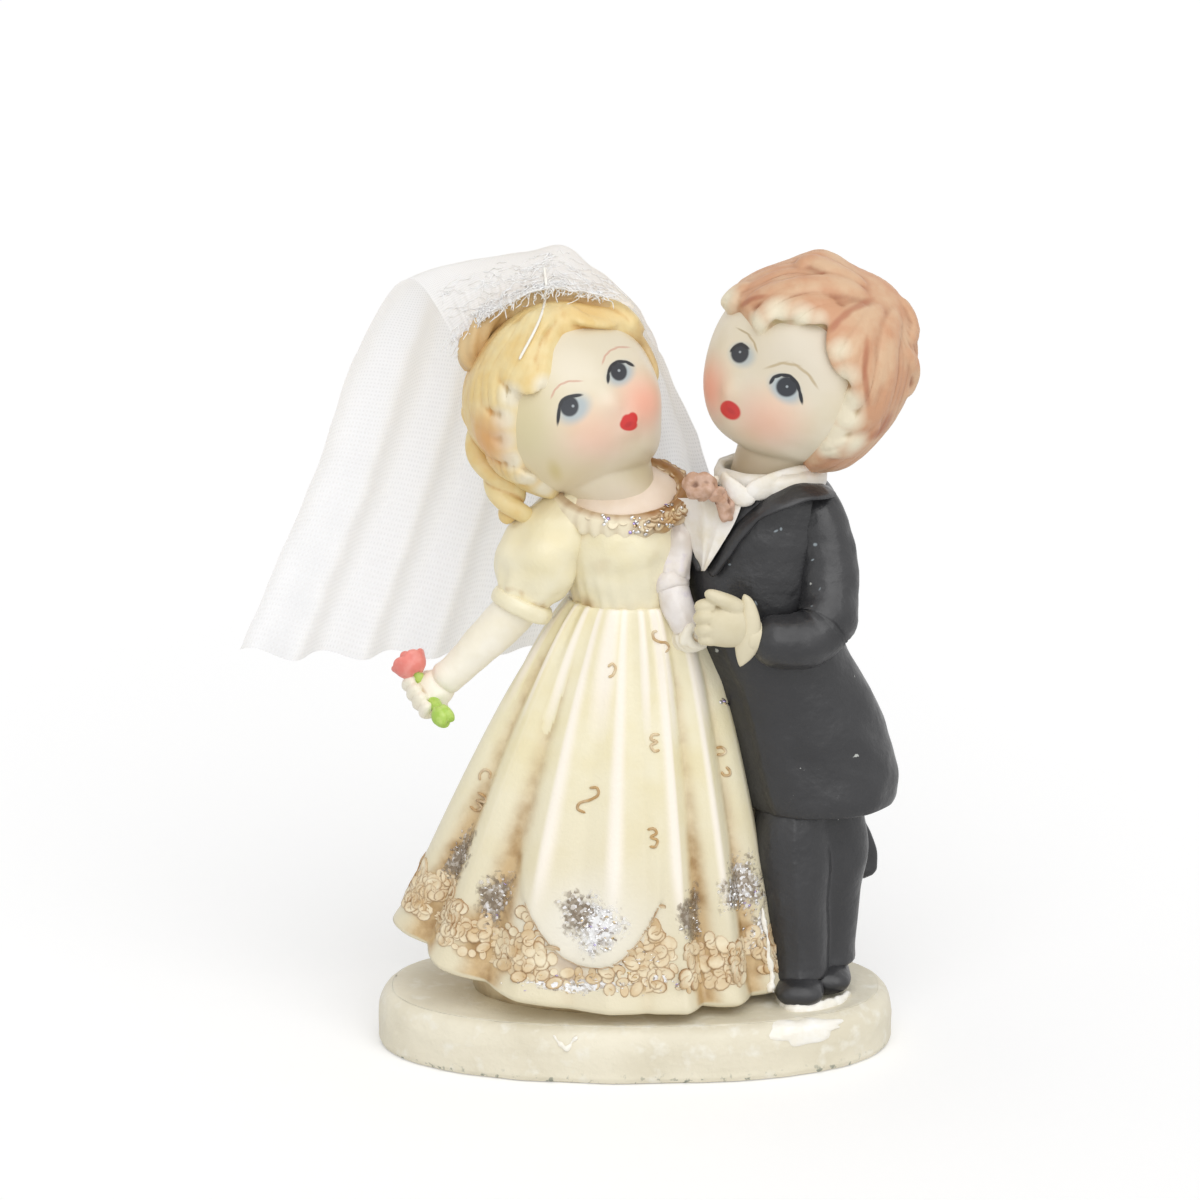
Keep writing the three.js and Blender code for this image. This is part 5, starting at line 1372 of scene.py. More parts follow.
def hair_cap(head, skin, hairline, throat, thickness, swells):
    """A cap over a head, open where the hairline's photo pixels and the throat's degrees go round.
    Swells make it thicker: a photo pixel, a rise and a spread in mm."""
    cap = bmesh.new()
    ball = head.ball(cap)
    outline = [face_map(head, photo_spot(skin, u, v, head.middle)[0]) for u, v in hairline]
    outline += [Vector(corner) for corner in throat]
    spots = [(photo_spot(skin, u, v, head.middle)[0], rise, spread) for u, v, rise, spread in swells]
    for vert in ball:
        away = (vert.co - head.middle).normalized()
        rise = thickness + sum(up * math.exp(-((vert.co - spot).length / spread) ** 2)
                               for spot, up, spread in spots)
        edge = outside(face_map(head, vert.co), outline) * math.radians(head.radius)
        swollen = (rise + HAIR_SUNK) * smoothstep(-0.9, 1, edge) ** 0.7
        vert.co = head.middle + away * (head.radius - HAIR_SUNK + swollen)
    return cap


def photo_locks(bm, head, surface, locks, lift):
    """Locks that follow photo pixels: each is a half-width, a half-thickness and its pixels."""
    for half_width, half_thick, *pixels in locks:
        stops = []
        for k, (u, v) in enumerate(pixels):
            spot = photo_spot(surface, u, v, head.middle)[0]
            share = k / (len(pixels) - 1)
            full = 0.55 + 0.45 * smoothstep(0, 0.35, share) - 0.5 * smoothstep(0.6, 1, share)
            spot += (spot - head.middle).normalized() * lift
            stops.append([*spot, half_width * full, half_thick * (0.4 + 0.6 * full)])
        limb(bm, stops, away=head.middle, sides=14, rings=28, cap=0.16)


def comb(bm, head, parting, strands, depth):
    """Combs a cast: grooves that run away from a parting, narrow between broad strands."""
    axis = (parting - head.middle).normalized()
    right = axis.orthogonal().normalized()
    up = axis.cross(right)
    for vert in bm.verts:
        away = vert.co - head.middle
        reach = away.length
        away.normalize()
        turn = math.atan2(away.dot(up), away.dot(right))
        tilt = math.degrees(away.angle(axis))
        wave = strands * turn + 5 * noise.noise(away * 2.2) + 0.014 * strands * math.sin(tilt / 19)
        strand = abs(math.cos(wave / 2)) ** 0.6 + 0.4 * abs(math.cos(wave * 1.3 + 1)) ** 0.6 - 1
        uneven = 0.35 + 0.9 * max(noise.noise(away * 3 + Vector((7, 1, 4))), 0)
        held = smoothstep(head.radius, head.radius + 0.7, reach) * smoothstep(12, 48, tilt) * uneven
        vert.co += away * depth * strand * held


def bare_patches(mesh, head, surface, patches):
    """Stores where the wash was left off: each patch is a photo pixel and a radius in pixels."""
    places = read_vertices(mesh, "co") / MM
    bare = np.zeros(len(places))
    for u, v, radius in patches:
        spot = np.array(photo_spot(surface, u, v, head.middle)[0])
        apart = np.linalg.norm(places - spot, axis=1) * PIXELS_PER_MM / radius
        bare = np.maximum(bare, np.clip(1.6 - apart, 0, 1))
    store_numbers(mesh, "bare", bare)


# %% The bride's hair
# The hairline in photo pixels, from the left temple over the forehead to the right jaw, then on
# round the throat in degrees on the face map.
BRIDE_HAIRLINE = [(659, 385), (653, 358), (645, 341), (626, 333), (604, 327), (580, 328), (562, 333),
                  (553, 350), (551, 372), (546, 388), (530, 390), (519, 400), (516, 425), (517, 448),
                  (526, 468), (545, 484)]
BRIDE_THROAT = [(-70, -120), (70, -120), (95, -30)]
BRIDE_SWELLS = [(470, 400, 0.5, 5), (545, 320, 0.8, 4), (620, 312, 0.8, 3), (495, 465, -0.5, 3),
                (652, 350, -0.3, 3)]
BRIDE_PARTING = (585, 284)
# Locks that end in curls: half-width and half-thickness in mm, then photo pixels.
BRIDE_LOCKS = [
    (2.4, 0.55, (566, 296), (542, 316), (522, 342), (516, 364), (527, 381), (544, 386)),
    (2.1, 0.5, (540, 300), (512, 330), (494, 358), (489, 384), (499, 398), (513, 400)),
    (1.7, 0.5, (502, 328), (480, 372), (477, 405), (489, 425), (506, 424)),
    (1.6, 0.5, (476, 402), (482, 434), (497, 450), (513, 448)),
    (1.5, 0.5, (486, 452), (501, 469), (520, 477), (538, 480)),
    (2, 0.75, (568, 298), (592, 300), (618, 304), (638, 312), (640, 321), (626, 326)),
    (1.2, 0.5, (566, 305), (578, 318), (598, 323), (618, 325)),
    (1.0, 0.5, (630, 326), (643, 344), (652, 362), (657, 378))]
# Where the casting stays cream: photo pixel and radius in pixels.
BRIDE_BARE = [(544, 386, 9), (512, 396, 11), (504, 419, 11), (504, 440, 11), (511, 460, 11),
              (528, 477, 11), (546, 489, 12)]
# Dabs where the wash is redder, duller or brighter than elsewhere. The redder one low on the left
# and the one beside the face on the right are also painted shade.
BRIDE_HAIR_TONES_AND_SHADE = [
    (488, 440, 18, 26, 0, "#d9995a", 0.9, 0.75), (478, 352, 20, 34, -25, "#d9b47c", 0.9, 0.8),
    (590, 312, 34, 10, 0, "#f3cb80", 0.9, 0.6), (646, 352, 10, 24, 15, "#cdb384", 0.7, 0.9)]
bm = hair_cap(BRIDE, bride_skin, BRIDE_HAIRLINE, BRIDE_THROAT, 0.75, BRIDE_SWELLS)
bride_cap = BVHTree.FromBMesh(bm)
photo_locks(bm, BRIDE, bride_cap, BRIDE_LOCKS, 0.1)
bm = cast_as_one(bm, HAIR_VOXEL, 5)
comb(bm, BRIDE, photo_spot(bride_cap, *BRIDE_PARTING, BRIDE.middle)[0], 52, 0.2)
bride_hair_surface = BVHTree.FromBMesh(bm)
dabs(blond_wash, bride_cap, BRIDE.middle, BRIDE_HAIR_TONES_AND_SHADE)
hair = finish_piece(bm, "bride_cast_hair", blond_wash, ["bride_hair"], (16, 0.25))
bare_patches(hair.data, BRIDE, bride_cap, BRIDE_BARE)

# %% Hair roll and ringlet
HAIR_ROLL = [(-18.7, -0.9, 29.2, 0.8, 0.9), (-19.2, -0.7, 31.8, 1.6, 1.5), (-16.2, 0.6, 36.1, 1.8, 1.6),
             (-9.6, 0.8, 37.8, 1.8, 1.5), (-3, 1.2, 36, 1.6, 1.4), (0.6, 1.5, 32.6, 1.4, 1.3)]
bm = bmesh.new()
limb(bm, shifted(HAIR_ROLL, BRIDE_WAIST), away=BRIDE.middle, sides=40, rings=70, cap=0.04,
     swell=lambda share, turn: 1 + 0.08 * math.cos(5 * turn + 30 * share))
roll_surface = BVHTree.FromBMesh(bm)
finish_piece(bm, "bride_cast_hair_roll", tan_roll, ["bride_hair_roll"], (16, 0.3))

RINGLET = [(-18.2, 0.6, 25.4), (-17.2, -1, 19), (-14.8, -2.4, 14.4), (-13.4, -2.2, 11)]
RINGLET_TWISTS = 1.6
RINGLET_RADIUS = 1.15
RINGLET_STOPS = 13
STRAND_HALF = (1.55, 1.5)
bm = bmesh.new()
for strand in range(2):
    stops = []
    for k in range(RINGLET_STOPS):
        share = k / (RINGLET_STOPS - 1)
        x, y, z = Vector(along(RINGLET, share)) + BRIDE_WAIST
        turn = 2 * math.pi * (RINGLET_TWISTS * share + strand / 2)
        taper = 1 - 0.3 * share
        stops.append([x + RINGLET_RADIUS * math.cos(turn), y + RINGLET_RADIUS * math.sin(turn), z,
                      STRAND_HALF[0] * taper, STRAND_HALF[1] * taper])
    limb(bm, stops, sides=20, rings=50, cap=0.08)
finish_piece(cast_as_one(bm, 0.22, 2), "bride_ringlet", blond_wash, ["bride_side_curl"],
             (20, 0.3))

# %% The groom's hair
GROOM_HAIRLINE = [(818, 448), (828, 436), (836, 421), (841, 408), (847, 394), (850, 383), (842, 370),
                  (836, 352), (829, 331), (814, 323), (795, 325), (780, 321), (768, 329), (759, 336),
                  (750, 322), (741, 311), (727, 314)]
GROOM_THROAT = [(-95, 35), (-95, -30), (-70, -120), (60, -120)]
GROOM_SWELLS = [(822, 262, 1.4, 2.8), (880, 296, 1.2, 4), (905, 340, 0.9, 5), (730, 296, 0.3, 3),
                (770, 285, 0.1, 5), (872, 432, -0.3, 5), (890, 405, -0.2, 3.5), (846, 470, 0.5, 3)]
GROOM_PARTING = (874, 298)
GROOM_LOCKS = [
    (1.8, 0.7, (868, 296), (838, 286), (806, 287), (772, 293), (745, 303)),
    (1.6, 0.8, (866, 286), (836, 272), (812, 262), (800, 268)),
    (1.7, 0.45, (748, 286), (734, 293), (729, 304), (733, 316)),
    (1.4, 0.7, (800, 300), (778, 306), (763, 318), (758, 333)),
    (1.4, 0.7, (836, 303), (808, 306), (786, 311), (776, 318)),
    (1.4, 0.6, (846, 312), (826, 314), (808, 316), (796, 322)),
    (1.8, 0.7, (866, 306), (846, 322), (839, 342), (842, 362), (852, 380)),
    (2.2, 0.7, (882, 306), (864, 332), (858, 358), (866, 384), (857, 396), (844, 396)),
    (2.2, 0.7, (898, 310), (888, 342), (884, 374), (876, 404), (860, 422), (841, 418)),
    (2.1, 0.7, (878, 414), (862, 438), (842, 448), (822, 443)),
    (1.3, 0.5, (900, 298), (909, 312), (914, 328), (911, 342)),
    (1.2, 0.5, (906, 350), (914, 366), (917, 384), (903, 397))]
GROOM_BARE = [(727, 302, 13), (757, 327, 13), (779, 315, 13), (802, 319, 12), (818, 321, 9),
              (839, 350, 10), (847, 374, 11), (848, 402, 13), (846, 418, 14), (836, 436, 15),
              (828, 448, 12), (852, 440, 12)]
# Brown brush marks in the creases: photo pixels and width.
GROOM_BROWN = [([(870, 300), (850, 311), (838, 321), (831, 330)], 7),
               ([(742, 305), (752, 299), (764, 297)], 5),
               ([(866, 346), (864, 372), (867, 398)], 6),
               ([(890, 416), (881, 431), (868, 439)], 7)]
bm = hair_cap(GROOM, groom_skin, GROOM_HAIRLINE, GROOM_THROAT, 1, GROOM_SWELLS)
groom_cap = BVHTree.FromBMesh(bm)
photo_locks(bm, GROOM, groom_cap, GROOM_LOCKS, 0.15)
bm = cast_as_one(bm, HAIR_VOXEL, 7)
comb(bm, GROOM, photo_spot(groom_cap, *GROOM_PARTING, GROOM.middle)[0], 40, 0.26)
for pixels, width in GROOM_BROWN:
    dabs(ginger_wash, groom_cap, GROOM.middle, stroke(pixels, width, "#ad6a4b", 0.6, 0.7))
hair = finish_piece(bm, "groom_cast_hair", ginger_wash, ["groom_hair"], (18, 0.28))
bare_patches(hair.data, GROOM, groom_cap, GROOM_BARE)

# %% [markdown]
# ## Veil
# The veil is the only soft piece: one cut of white cotton gauze, gathered and glued on the crown,
# with a frayed edge in front. It could be simulated as cloth, but its stiff folds were set by
# hand and glue, so it is a grid that hangs between three curves, with long folds that grow
# towards its lower edge. The weave follows the piece's own UV map, which is in millimetres.

# %% Cotton gauze
GAUZE_PITCH = 0.42
# Open-weave cotton: matt white threads, small holes between them, so that things show through.
cotton_gauze = new_finish("cotton_gauze", "#fbfbfc", Roughness=0.9, Sheen_Weight=0.15)
tree = cotton_gauze.node_tree
coords = add_node(tree, "ShaderNodeTexCoord", {}, {})
uv = add_node(tree, "ShaderNodeSeparateXYZ", {}, {0: coords.outputs["UV"]})
threads = []
for axis in ("X", "Y"):
    phase = add_node(tree, "ShaderNodeMath", {"operation": "MULTIPLY"}, {
        0: uv.outputs[axis], 1: 2 * math.pi / GAUZE_PITCH})
    wave = add_node(tree, "ShaderNodeMath", {"operation": "SINE"}, {0: phase.outputs[0]})
    thread = add_node(tree, "ShaderNodeMapRange", {}, {
        "Value": wave.outputs[0], "From Min": -0.55, "From Max": 0.35})
    threads.append(thread.outputs[0])
weave = add_node(tree, "ShaderNodeMath", {"operation": "MAXIMUM"}, {0: threads[0], 1: threads[1]})
solid = add_node(tree, "ShaderNodeMapRange", {}, {
    "Value": weave.outputs[0], "To Min": 0.86, "To Max": 0.97})
clear = add_node(tree, "ShaderNodeBsdfTransparent", {}, {})
lit_through = add_node(tree, "ShaderNodeBsdfTranslucent", {}, {"Color": to_linear("#ffffff")})
cloth = add_node(tree, "ShaderNodeMixShader", {}, {
    0: 0.4, 1: tree.nodes["Principled BSDF"].outputs[0], 2: lit_through.outputs[0]})
cloth = add_node(tree, "ShaderNodeMixShader", {}, {
    0: solid.outputs["Result"], 1: clear.outputs[0], 2: cloth.outputs[0]})
tree.links.new(cloth.outputs[0], tree.nodes["Material Output"].inputs["Surface"])

# %% Veil sheet
VEIL_LEFT = [(-20.4, -0.8, 32.4), (-26.6, 4, 39.6), (-33, 8, 31), (-39, 9, 14), (-48.4, 8.4, -8.4)]
VEIL_MIDDLE = [(-11, -2.6, 38.9), (-9.8, 4.4, 42.4), (-9.6, 14.4, 34), (-12, 16.6, 14), (-18, 15.6, -10.4)]
VEIL_RIGHT = [(0.4, -0.6, 36.8), (0.6, 5, 35.8), (4.6, 11, 28.4), (10.4, 14, 12), (12.6, 15.6, -7)]
VEIL_PEAK = 1.5
VEIL_FOLDS = 7
VEIL_FOLD_DEPTH = 2.1
# The flat piece of gauze, in metres.
VEIL_CUT = (0.075, 0.062)
VEIL_NUDGE = 0.02


def veil_plain(across, down):
    """The veil without its folds: across from -1 to 1, down from 0 on the crown to 1."""
    left, middle, right = (Vector(along(edge, down)) for edge in (VEIL_LEFT, VEIL_MIDDLE, VEIL_RIGHT))
    peak = VEIL_PEAK * math.exp(-(((across - 0.14) / 0.22) ** 2) - ((down - 0.2) / 0.16) ** 2)
    crown = middle + Vector((0, 0, peak))
    return crown + (right - left) * across / 2 + ((left + right) / 2 - middle) * across**2


def veil_spot(across, down):
    """A point of the folded veil."""
    here = veil_plain(across, down)
    low, high = max(down - VEIL_NUDGE, 0), min(down + VEIL_NUDGE, 1)
    sideways = veil_plain(across + VEIL_NUDGE, down) - veil_plain(across - VEIL_NUDGE, down)
    downwards = veil_plain(across, high) - veil_plain(across, low)
    facing = sideways.cross(downwards).normalized()
    hanging = smoothstep(0.2, 0.55, down)
    fold = VEIL_FOLD_DEPTH * down * hanging * math.cos(VEIL_FOLDS * math.pi * across + 2 * down)
    fold += 0.25 * hanging * math.cos(17 * across + 3 * math.sin(4 * across) + 4 * down)
    fold += (0.2 + 0.3 * hanging) * noise.noise(here / 4)
    rumple = noise.noise(Vector((across * 7, down * 60, 2)))
    rumple += 0.6 * noise.noise(Vector((across * 30, down * 20, 5)))
    fold += 0.3 * rumple * (1 - smoothstep(0.04, 0.2, down))
    return here + facing * fold + BRIDE_WAIST


bm = bmesh.new()
bmesh.ops.create_grid(bm, x_segments=190, y_segments=110, size=1)
weave_map = bm.loops.layers.uv.new("weave")
for face in bm.faces:
    for corner in face.loops:
        x, y = corner.vert.co.xy
        corner[weave_map].uv = (x * VEIL_CUT[0] / MM / 2, y * VEIL_CUT[1] / MM / 2)
for vert in bm.verts:
    vert.co = veil_spot(vert.co.x, (vert.co.y + 1) / 2)
veil_surface = BVHTree.FromBMesh(bm)
veil_area = sum(face.calc_area() for face in bm.faces) * MM * MM
veil = finish_piece(bm, "gauze_veil", cotton_gauze, ["veil"])
print("veil area", round(veil_area * 1e6), "mm2, cut", round(VEIL_CUT[0] * VEIL_CUT[1] * 1e6))

# %% Frayed threads
THREAD_RADIUS = 0.07
THREAD_RISE = 0.12
FRAYED_THREADS = 210
LYING_THREADS = 170
thread_rng = random.Random(11)
# Pulled cotton threads: matt white like the gauze, with no weave of their own.
cotton_thread = new_finish("cotton_thread", "#fbfbfb", Roughness=0.9)
coats(cotton_thread, (speckle(cotton_thread, 1, 0.4, 0.7), "#efece8"))
fringe_bm = bmesh.new()
for _ in range(LYING_THREADS):
    across, down = thread_rng.uniform(-1, 0.75), thread_rng.uniform(0, 1) ** 1.5 * 0.16
    run, fall = thread_rng.uniform(0.08, 0.26), thread_rng.uniform(-0.03, 0.03)
    stops = []
    for step in (0, 0.25, 0.5, 0.75, 1):
        waver = thread_rng.uniform(-0.01, 0.01)
        spot = veil_spot(min(across + run * step, 0.98), max(down + fall * step + waver, 0))
        spot += (spot - BRIDE.middle).normalized() * THREAD_RISE
        stops.append([*spot, THREAD_RADIUS, THREAD_RADIUS])
    limb(fringe_bm, stops, sides=4, rings=12, cap=0.1)
for _ in range(FRAYED_THREADS):
    across = thread_rng.uniform(-1, 0.7)
    start = veil_spot(across, thread_rng.uniform(0, 0.05))
    edgeways = (veil_spot(across + VEIL_NUDGE, 0) - veil_spot(across - VEIL_NUDGE, 0)).normalized()
    loose = edgeways * thread_rng.uniform(-1, 0.8) + Vector((0, -0.15, thread_rng.uniform(-0.8, 0)))
    length = thread_rng.uniform(0.8, 2.6)
    stops = [start]
    for step in (0.4, 0.7, 1):
        curl = Vector([thread_rng.uniform(-0.3, 0.3) for _ in range(3)])
        stops.append(start + loose * length * step + curl)
    limb(fringe_bm, [[*s, THREAD_RADIUS, THREAD_RADIUS] for s in stops], sides=4, rings=9, cap=0.1)
fringe = finish_piece(fringe_bm, "veil_frayed_threads", cotton_thread)

# %% Dried glue
# Clear hobby glue that dried in a thread and a smear: milky white, wet-looking gloss.
dried_glue = new_finish("dried_clear_glue", "#f4efe2", Roughness=0.12, IOR=1.48)
coats(dried_glue, (speckle(dried_glue, 2, 0.4, 0.7), "#faf8f2"))
cast_texture(dried_glue, 1, 0.06)
GLUE_THREAD = [(544, 266), (546, 284), (545, 300), (541, 316), (534, 332), (526, 347), (519, 360)]
GLUE_THREAD_HALF = (0.17, 0.15)
stops = []
for u, v in GLUE_THREAD:
    spots = [photo_spot(surface, u, v, BRIDE.middle)[0]
             for surface in (veil_surface, roll_surface, bride_hair_surface)]
    front = min(spots, key=lambda spot: (EYE - spot).length)
    stops.append([*(front + (EYE - front).normalized() * 0.3), *GLUE_THREAD_HALF])
limb_piece(stops, "hair_glue_thread", dried_glue, "white_glue", across=(1, 0, 0.3), sides=12, rings=60,
           cap=0.04)

# The strip of glue between the gown and the trousers, by photo pixels and half-width.
GLUE_STRIP = [(761, 906, 0.15), (763, 922, 0.3), (767, 940, 0.2), (769, 958, 0.4), (773, 976, 0.3),
              (777, 992, 0.5), (782, 1003, 0.35)]
stops = []
for u, v, half in GLUE_STRIP:
    spot, facing = photo_spot(skirt_surface, u, v, SKIRT_MIDDLE)
    stops.append([*(spot + facing * 0.2 + EYE_BACK * 0.3), half, 0.2])
limb_piece(stops, "gown_glue_strip", dried_glue, "white_glue", rough=(0.15, 0.8),
           across=(1, 0, 0), sides=14, rings=60, cap=0.05,
           swell=lambda share, turn: 1 + 0.2 * math.sin(31 * share + 4 * math.sin(9 * share)))

# The glue that spread in front of the shoes: a ridge and a thin mark by photo pixels and
# half-width, and a smear over the plinth's edge.
PLINTH_MIDDLE = (0, 0, PLINTH_TOP / 2)
GLUE_RIDGES = [[(775, 992, 0.5), (781, 1003, 0.7), (792, 1010, 0.8), (808, 1010, 0.7), (824, 1007, 0.9),
                (838, 1003, 0.8), (850, 993, 0.5)],
               [(553, 1035, 0.15), (559, 1042, 0.25), (566, 1048, 0.3), (572, 1042, 0.2),
                (578, 1036, 0.12)]]
bm = bmesh.new()
stores(bm, "tint", "cover")
for ridge in GLUE_RIDGES:
    stops = []
    for u, v, half in ridge:
        spot, facing = photo_spot(plinth_surface, u, v, PLINTH_MIDDLE)
        stops.append([*(spot + facing * 0.1), half, half * 0.6])
    limb(bm, stops, across=EYE_UP, sides=14, rings=50, cap=0.08)
rough_skin(bm, 0.25, 0.7)
photo_film(bm, plinth_surface, PLINTH_MIDDLE, (808, 1030), (35, 13), -8, 0.35, taper=0.5)
finish_piece(bm, "groom_glue_smear", dried_glue, ["groom_glue_fillet"])

# %% [markdown]
# ## The groom's suit
# The tailcoat, trousers and shoes are one black paint over soft castings, so their shapes show
# only in the outline and in small highlights. The coat is a stack of level rings that leans and
# flares as the body does. Legs, sleeves and tails are limbs, and brush marks break the gloss.

# %% Black paint, white paint and dusty pink paint
# Black enamel, brushed on: dark grey where it faces the light, with bright specks that are chips
# and painted glints, and brush marks.
black_enamel = new_finish("black_brushed_enamel", "#2b2b2d", IOR=1.5, Coat_Weight=0.2,
                          Coat_Roughness=0.12)
coats(black_enamel,
      (speckle(black_enamel, 6, 0.4, 0.7), "#303032"),
      (speckle(black_enamel, 1.5, 0.735, 0.75, detail=5), "#b9bbb6"))
gloss = add_node(black_enamel.node_tree, "ShaderNodeMapRange", {}, {
    "Value": speckle(black_enamel, 2.5, 0.35, 0.7), "To Min": 0.3, "To Max": 0.55})
feed(black_enamel, "Roughness", gloss.outputs["Result"])
cast_texture(black_enamel, 1.1, 0.06, detail=5)

# White enamel, thin enough for the cream resin to show through it in places.
white_enamel = new_finish("white_enamel", "#f3efe8", Roughness=0.4, IOR=1.5)
coats(white_enamel, (speckle(white_enamel, 2.5, 0.4, 0.68), "#e9e1cf"))
cast_texture(white_enamel, 0.7, 0.04)

# Dusty pink enamel with a brown wash and painted shade in its folds.
dusty_pink = new_finish("dusty_pink_enamel", "#bb957b", Roughness=0.45, IOR=1.5)
coats(dusty_pink,
      (speckle(dusty_pink, 1, 0.42, 0.62), "#cfad98"),
      (vertex_mask(dusty_pink, "crease", -0.1, 0.8), "#876450"))

# %% Coat
GROOM_HIP = Vector((22, 0, 32))
COAT = [(0.6, 1.8, -1.8, 9.2, 8.6), (0.5, 1.8, 0, 10, 9), (-0.2, 1.6, 4, 10.5, 8.5),
        (-2.4, 1.2, 12, 9.8, 7.9), (-5.6, 0.4, 19.5, 9.2, 7.4), (-6.6, 0, 27, 9.3, 7.3),
        (-6.2, 0, 34.4, 9, 7), (-6.2, 0.2, 38, 8.2, 6.6), (-6.2, 0.2, 40.4, 6.2, 5.4)]
COAT_FRONT = math.radians(-128)


def coat_drape(share, turn):
    """The front edge that laps over, a soft pleat at the back, and drag lines at the waist."""
    apart = (turn - COAT_FRONT + math.pi) % (2 * math.pi) - math.pi
    lap = smoothstep(-0.03, 0.03, apart) * (1 - smoothstep(0.2, 1.2, apart))
    lap *= 0.035 * (1 - smoothstep(0.6, 0.7, share))
    pleat = math.exp(-(((turn - math.pi / 2) / 0.1) ** 2))
    behind = 0.05 * pleat * (1 - smoothstep(0.3, 0.55, share))
    drag = 0.012 * math.sin(5 * turn + 22 * share) * math.exp(-(((share - 0.42) / 0.16) ** 2))
    return 1 + lap - behind + drag


bm = bmesh.new()
limb(bm, shifted(COAT, GROOM_HIP), level=True, sides=110, rings=96, cap=0.05, swell=coat_drape)
rough_skin(bm, 0.2, 3)
coat_surface = BVHTree.FromBMesh(bm)
COAT_MIDDLE = GROOM_HIP + Vector((-5, 0, 20))
# Places where the paint is chipped or a scratch catches the light, painted as highlights: photo
# pixel, half-sizes in pixels and lean.
COAT_CHIPS_AND_GLINTS = [(776, 531, 2.2, 1, 25), (781, 529, 1.2, 1.6, 0), (814.7, 544.7, 1.9, 1.6, 0),
              (729.7, 564.5, 1.2, 1, 0), (818, 589, 1.1, 2.6, -30), (810, 606, 1.9, 1.2, 20),
              (756, 603, 0.8, 2.4, 30), (812, 560, 1.6, 0.8, 30)]
dabs(black_enamel, coat_surface, COAT_MIDDLE, [(*chip_or_glint, "#98a3a9", 0.4, 0.8) for chip_or_glint in COAT_CHIPS_AND_GLINTS])
finish_piece(bm, "groom_tailcoat", black_enamel, ["groom_coat"])

# %% Tails, trousers and shoes
TAILS = {"left": [(2.6, 8.4, 3), (3.4, 9.4, -5), (6.2, 9.4, -11), (7.2, 9, -14.4)],
         "right": [(-3, 8, 3), (-3, 9.6, -5), (-3, 9.8, -11), (-2.6, 9.4, -14)]}
TAIL_HALF_WIDTHS = (3.2, 2.9, 2.5, 1.7)
TAIL_HALF_THICKNESS = 1.05
for side, path in TAILS.items():
    stops = [[*spot, half, TAIL_HALF_THICKNESS] for spot, half in zip(path, TAIL_HALF_WIDTHS)]
    limb_piece(shifted(stops, GROOM_HIP), f"groom_{side}_coat_tail", black_enamel, "black_suit",
               [f"groom_{side}_tail"], rough=(0.15, 2), sides=32, rings=40, cap=0.1)

GROOM_FOOT = Vector((22, 0, 7))
# Each leg: its foot's place, the trouser end's height, the shoe's height and the leg's lean.
LEGS = {"right": (-1.8, -3.2, 2.2, 1.7, 1.2), "left": (1.8, 0.8, 2.6, 1.9, 0)}


def trouser_crease(share, turn):
    """A pressed crease in front, and drag lines below the coat."""
    drag = 0.025 * math.sin(19 * share + 2 * turn) * (1 - smoothstep(0.5, 0.9, share))
    return 1 + 0.06 * math.exp(-((turn + math.pi / 2) / 0.12) ** 2) + drag


bm = bmesh.new()
for x, y, end_z, _, lean in LEGS.values():
    stops = [(x * 0.6 - lean, y * 0.3 + 1, 29, 3, 3), (x * 0.8 - lean, y * 0.6 + 0.4, 24, 4.6, 4.3),
             (x + 0.4 - lean, y * 0.9, 18, 4.7, 4.3), (x + 0.2 - lean / 2, y, 12, 4.2, 4.1),
             (x, y, end_z + 3, 3.8, 4), (x, y - 0.3, end_z, 3.9, 4.4)]
    limb(bm, shifted(stops, GROOM_FOOT), level=True, sides=40, rings=60, cap=0.05, swell=trouser_crease)
finish_piece(cast_as_one(bm, 0.28, 2), "groom_cast_trousers", black_enamel,
             ["groom_trousers"])
for side, (x, y, _, z, _) in LEGS.items():
    stops = [(x, y + 2.6, z, 2.2, 1.8), (x, y + 1, z, 2.8, 1.9), (x, y - 2, z, 3, 1.9),
             (x, y - 4.6, z - 0.1, 3, 1.7), (x, y - 7, z - 0.3, 2.3, 1.2)]
    bm = bmesh.new()
    limb(bm, shifted(stops, GROOM_FOOT), sides=32, rings=36, cap=0.14)
    for vert in bm.verts:
        vert.co.z = max(vert.co.z, PLINTH_TOP + 0.15)
    finish_piece(bm, f"groom_{side}_patent_shoe", black_enamel, [f"groom_{side}_shoe"])

# %% Sleeves
SLEEVES = {
    "left": [(-1.6, -0.8, 38, 2.6, 2.8), (-0.2, -2.4, 35.6, 3.4, 3.6), (1.1, -4.6, 29.4, 3.6, 3.7),
             (0.6, -7.4, 23.8, 3.6, 3.6), (-2.6, -9.4, 22, 3.4, 3.4), (-8.3, -10.5, 22.7, 3, 3)],
    "right": [(-11, 2, 36.6, 2.8, 2.8), (-12.6, 4, 34.6, 3.4, 3.3), (-15.8, 8.2, 31, 3.4, 3.4),
              (-20, 10.4, 27.6, 3.1, 3.1), (-23.6, 10.3, 26.4, 2.8, 2.8)]}


def elbow_creases(share, turn):
    """Creases that bunch at the bend."""
    bend = math.exp(-(((share - 0.6) / 0.16) ** 2))
    return 1 + 0.05 * math.sin(34 * share + 1.5 * math.sin(turn)) * bend


for side, stops in SLEEVES.items():
    limb_piece(shifted(stops, GROOM_HIP), f"groom_{side}_coat_sleeve", black_enamel, "black_suit",
               [f"groom_{side}_sleeve"], rough=(0.14, 1.8), across=(0.5, 0.6, 0.6), sides=40, rings=64,
               cap=0.09, swell=elbow_creases)

# %% [markdown]
# ## Shirt, lapels, collar and bow tie
# These lie on the coat's chest, which is turned towards the bride. Flat plates would stand off
# the round chest, so the shirt front is a grid that curves back at one side, and each lapel is
# a flat limb that is dropped onto the coat's surface along the rays of the photograph.

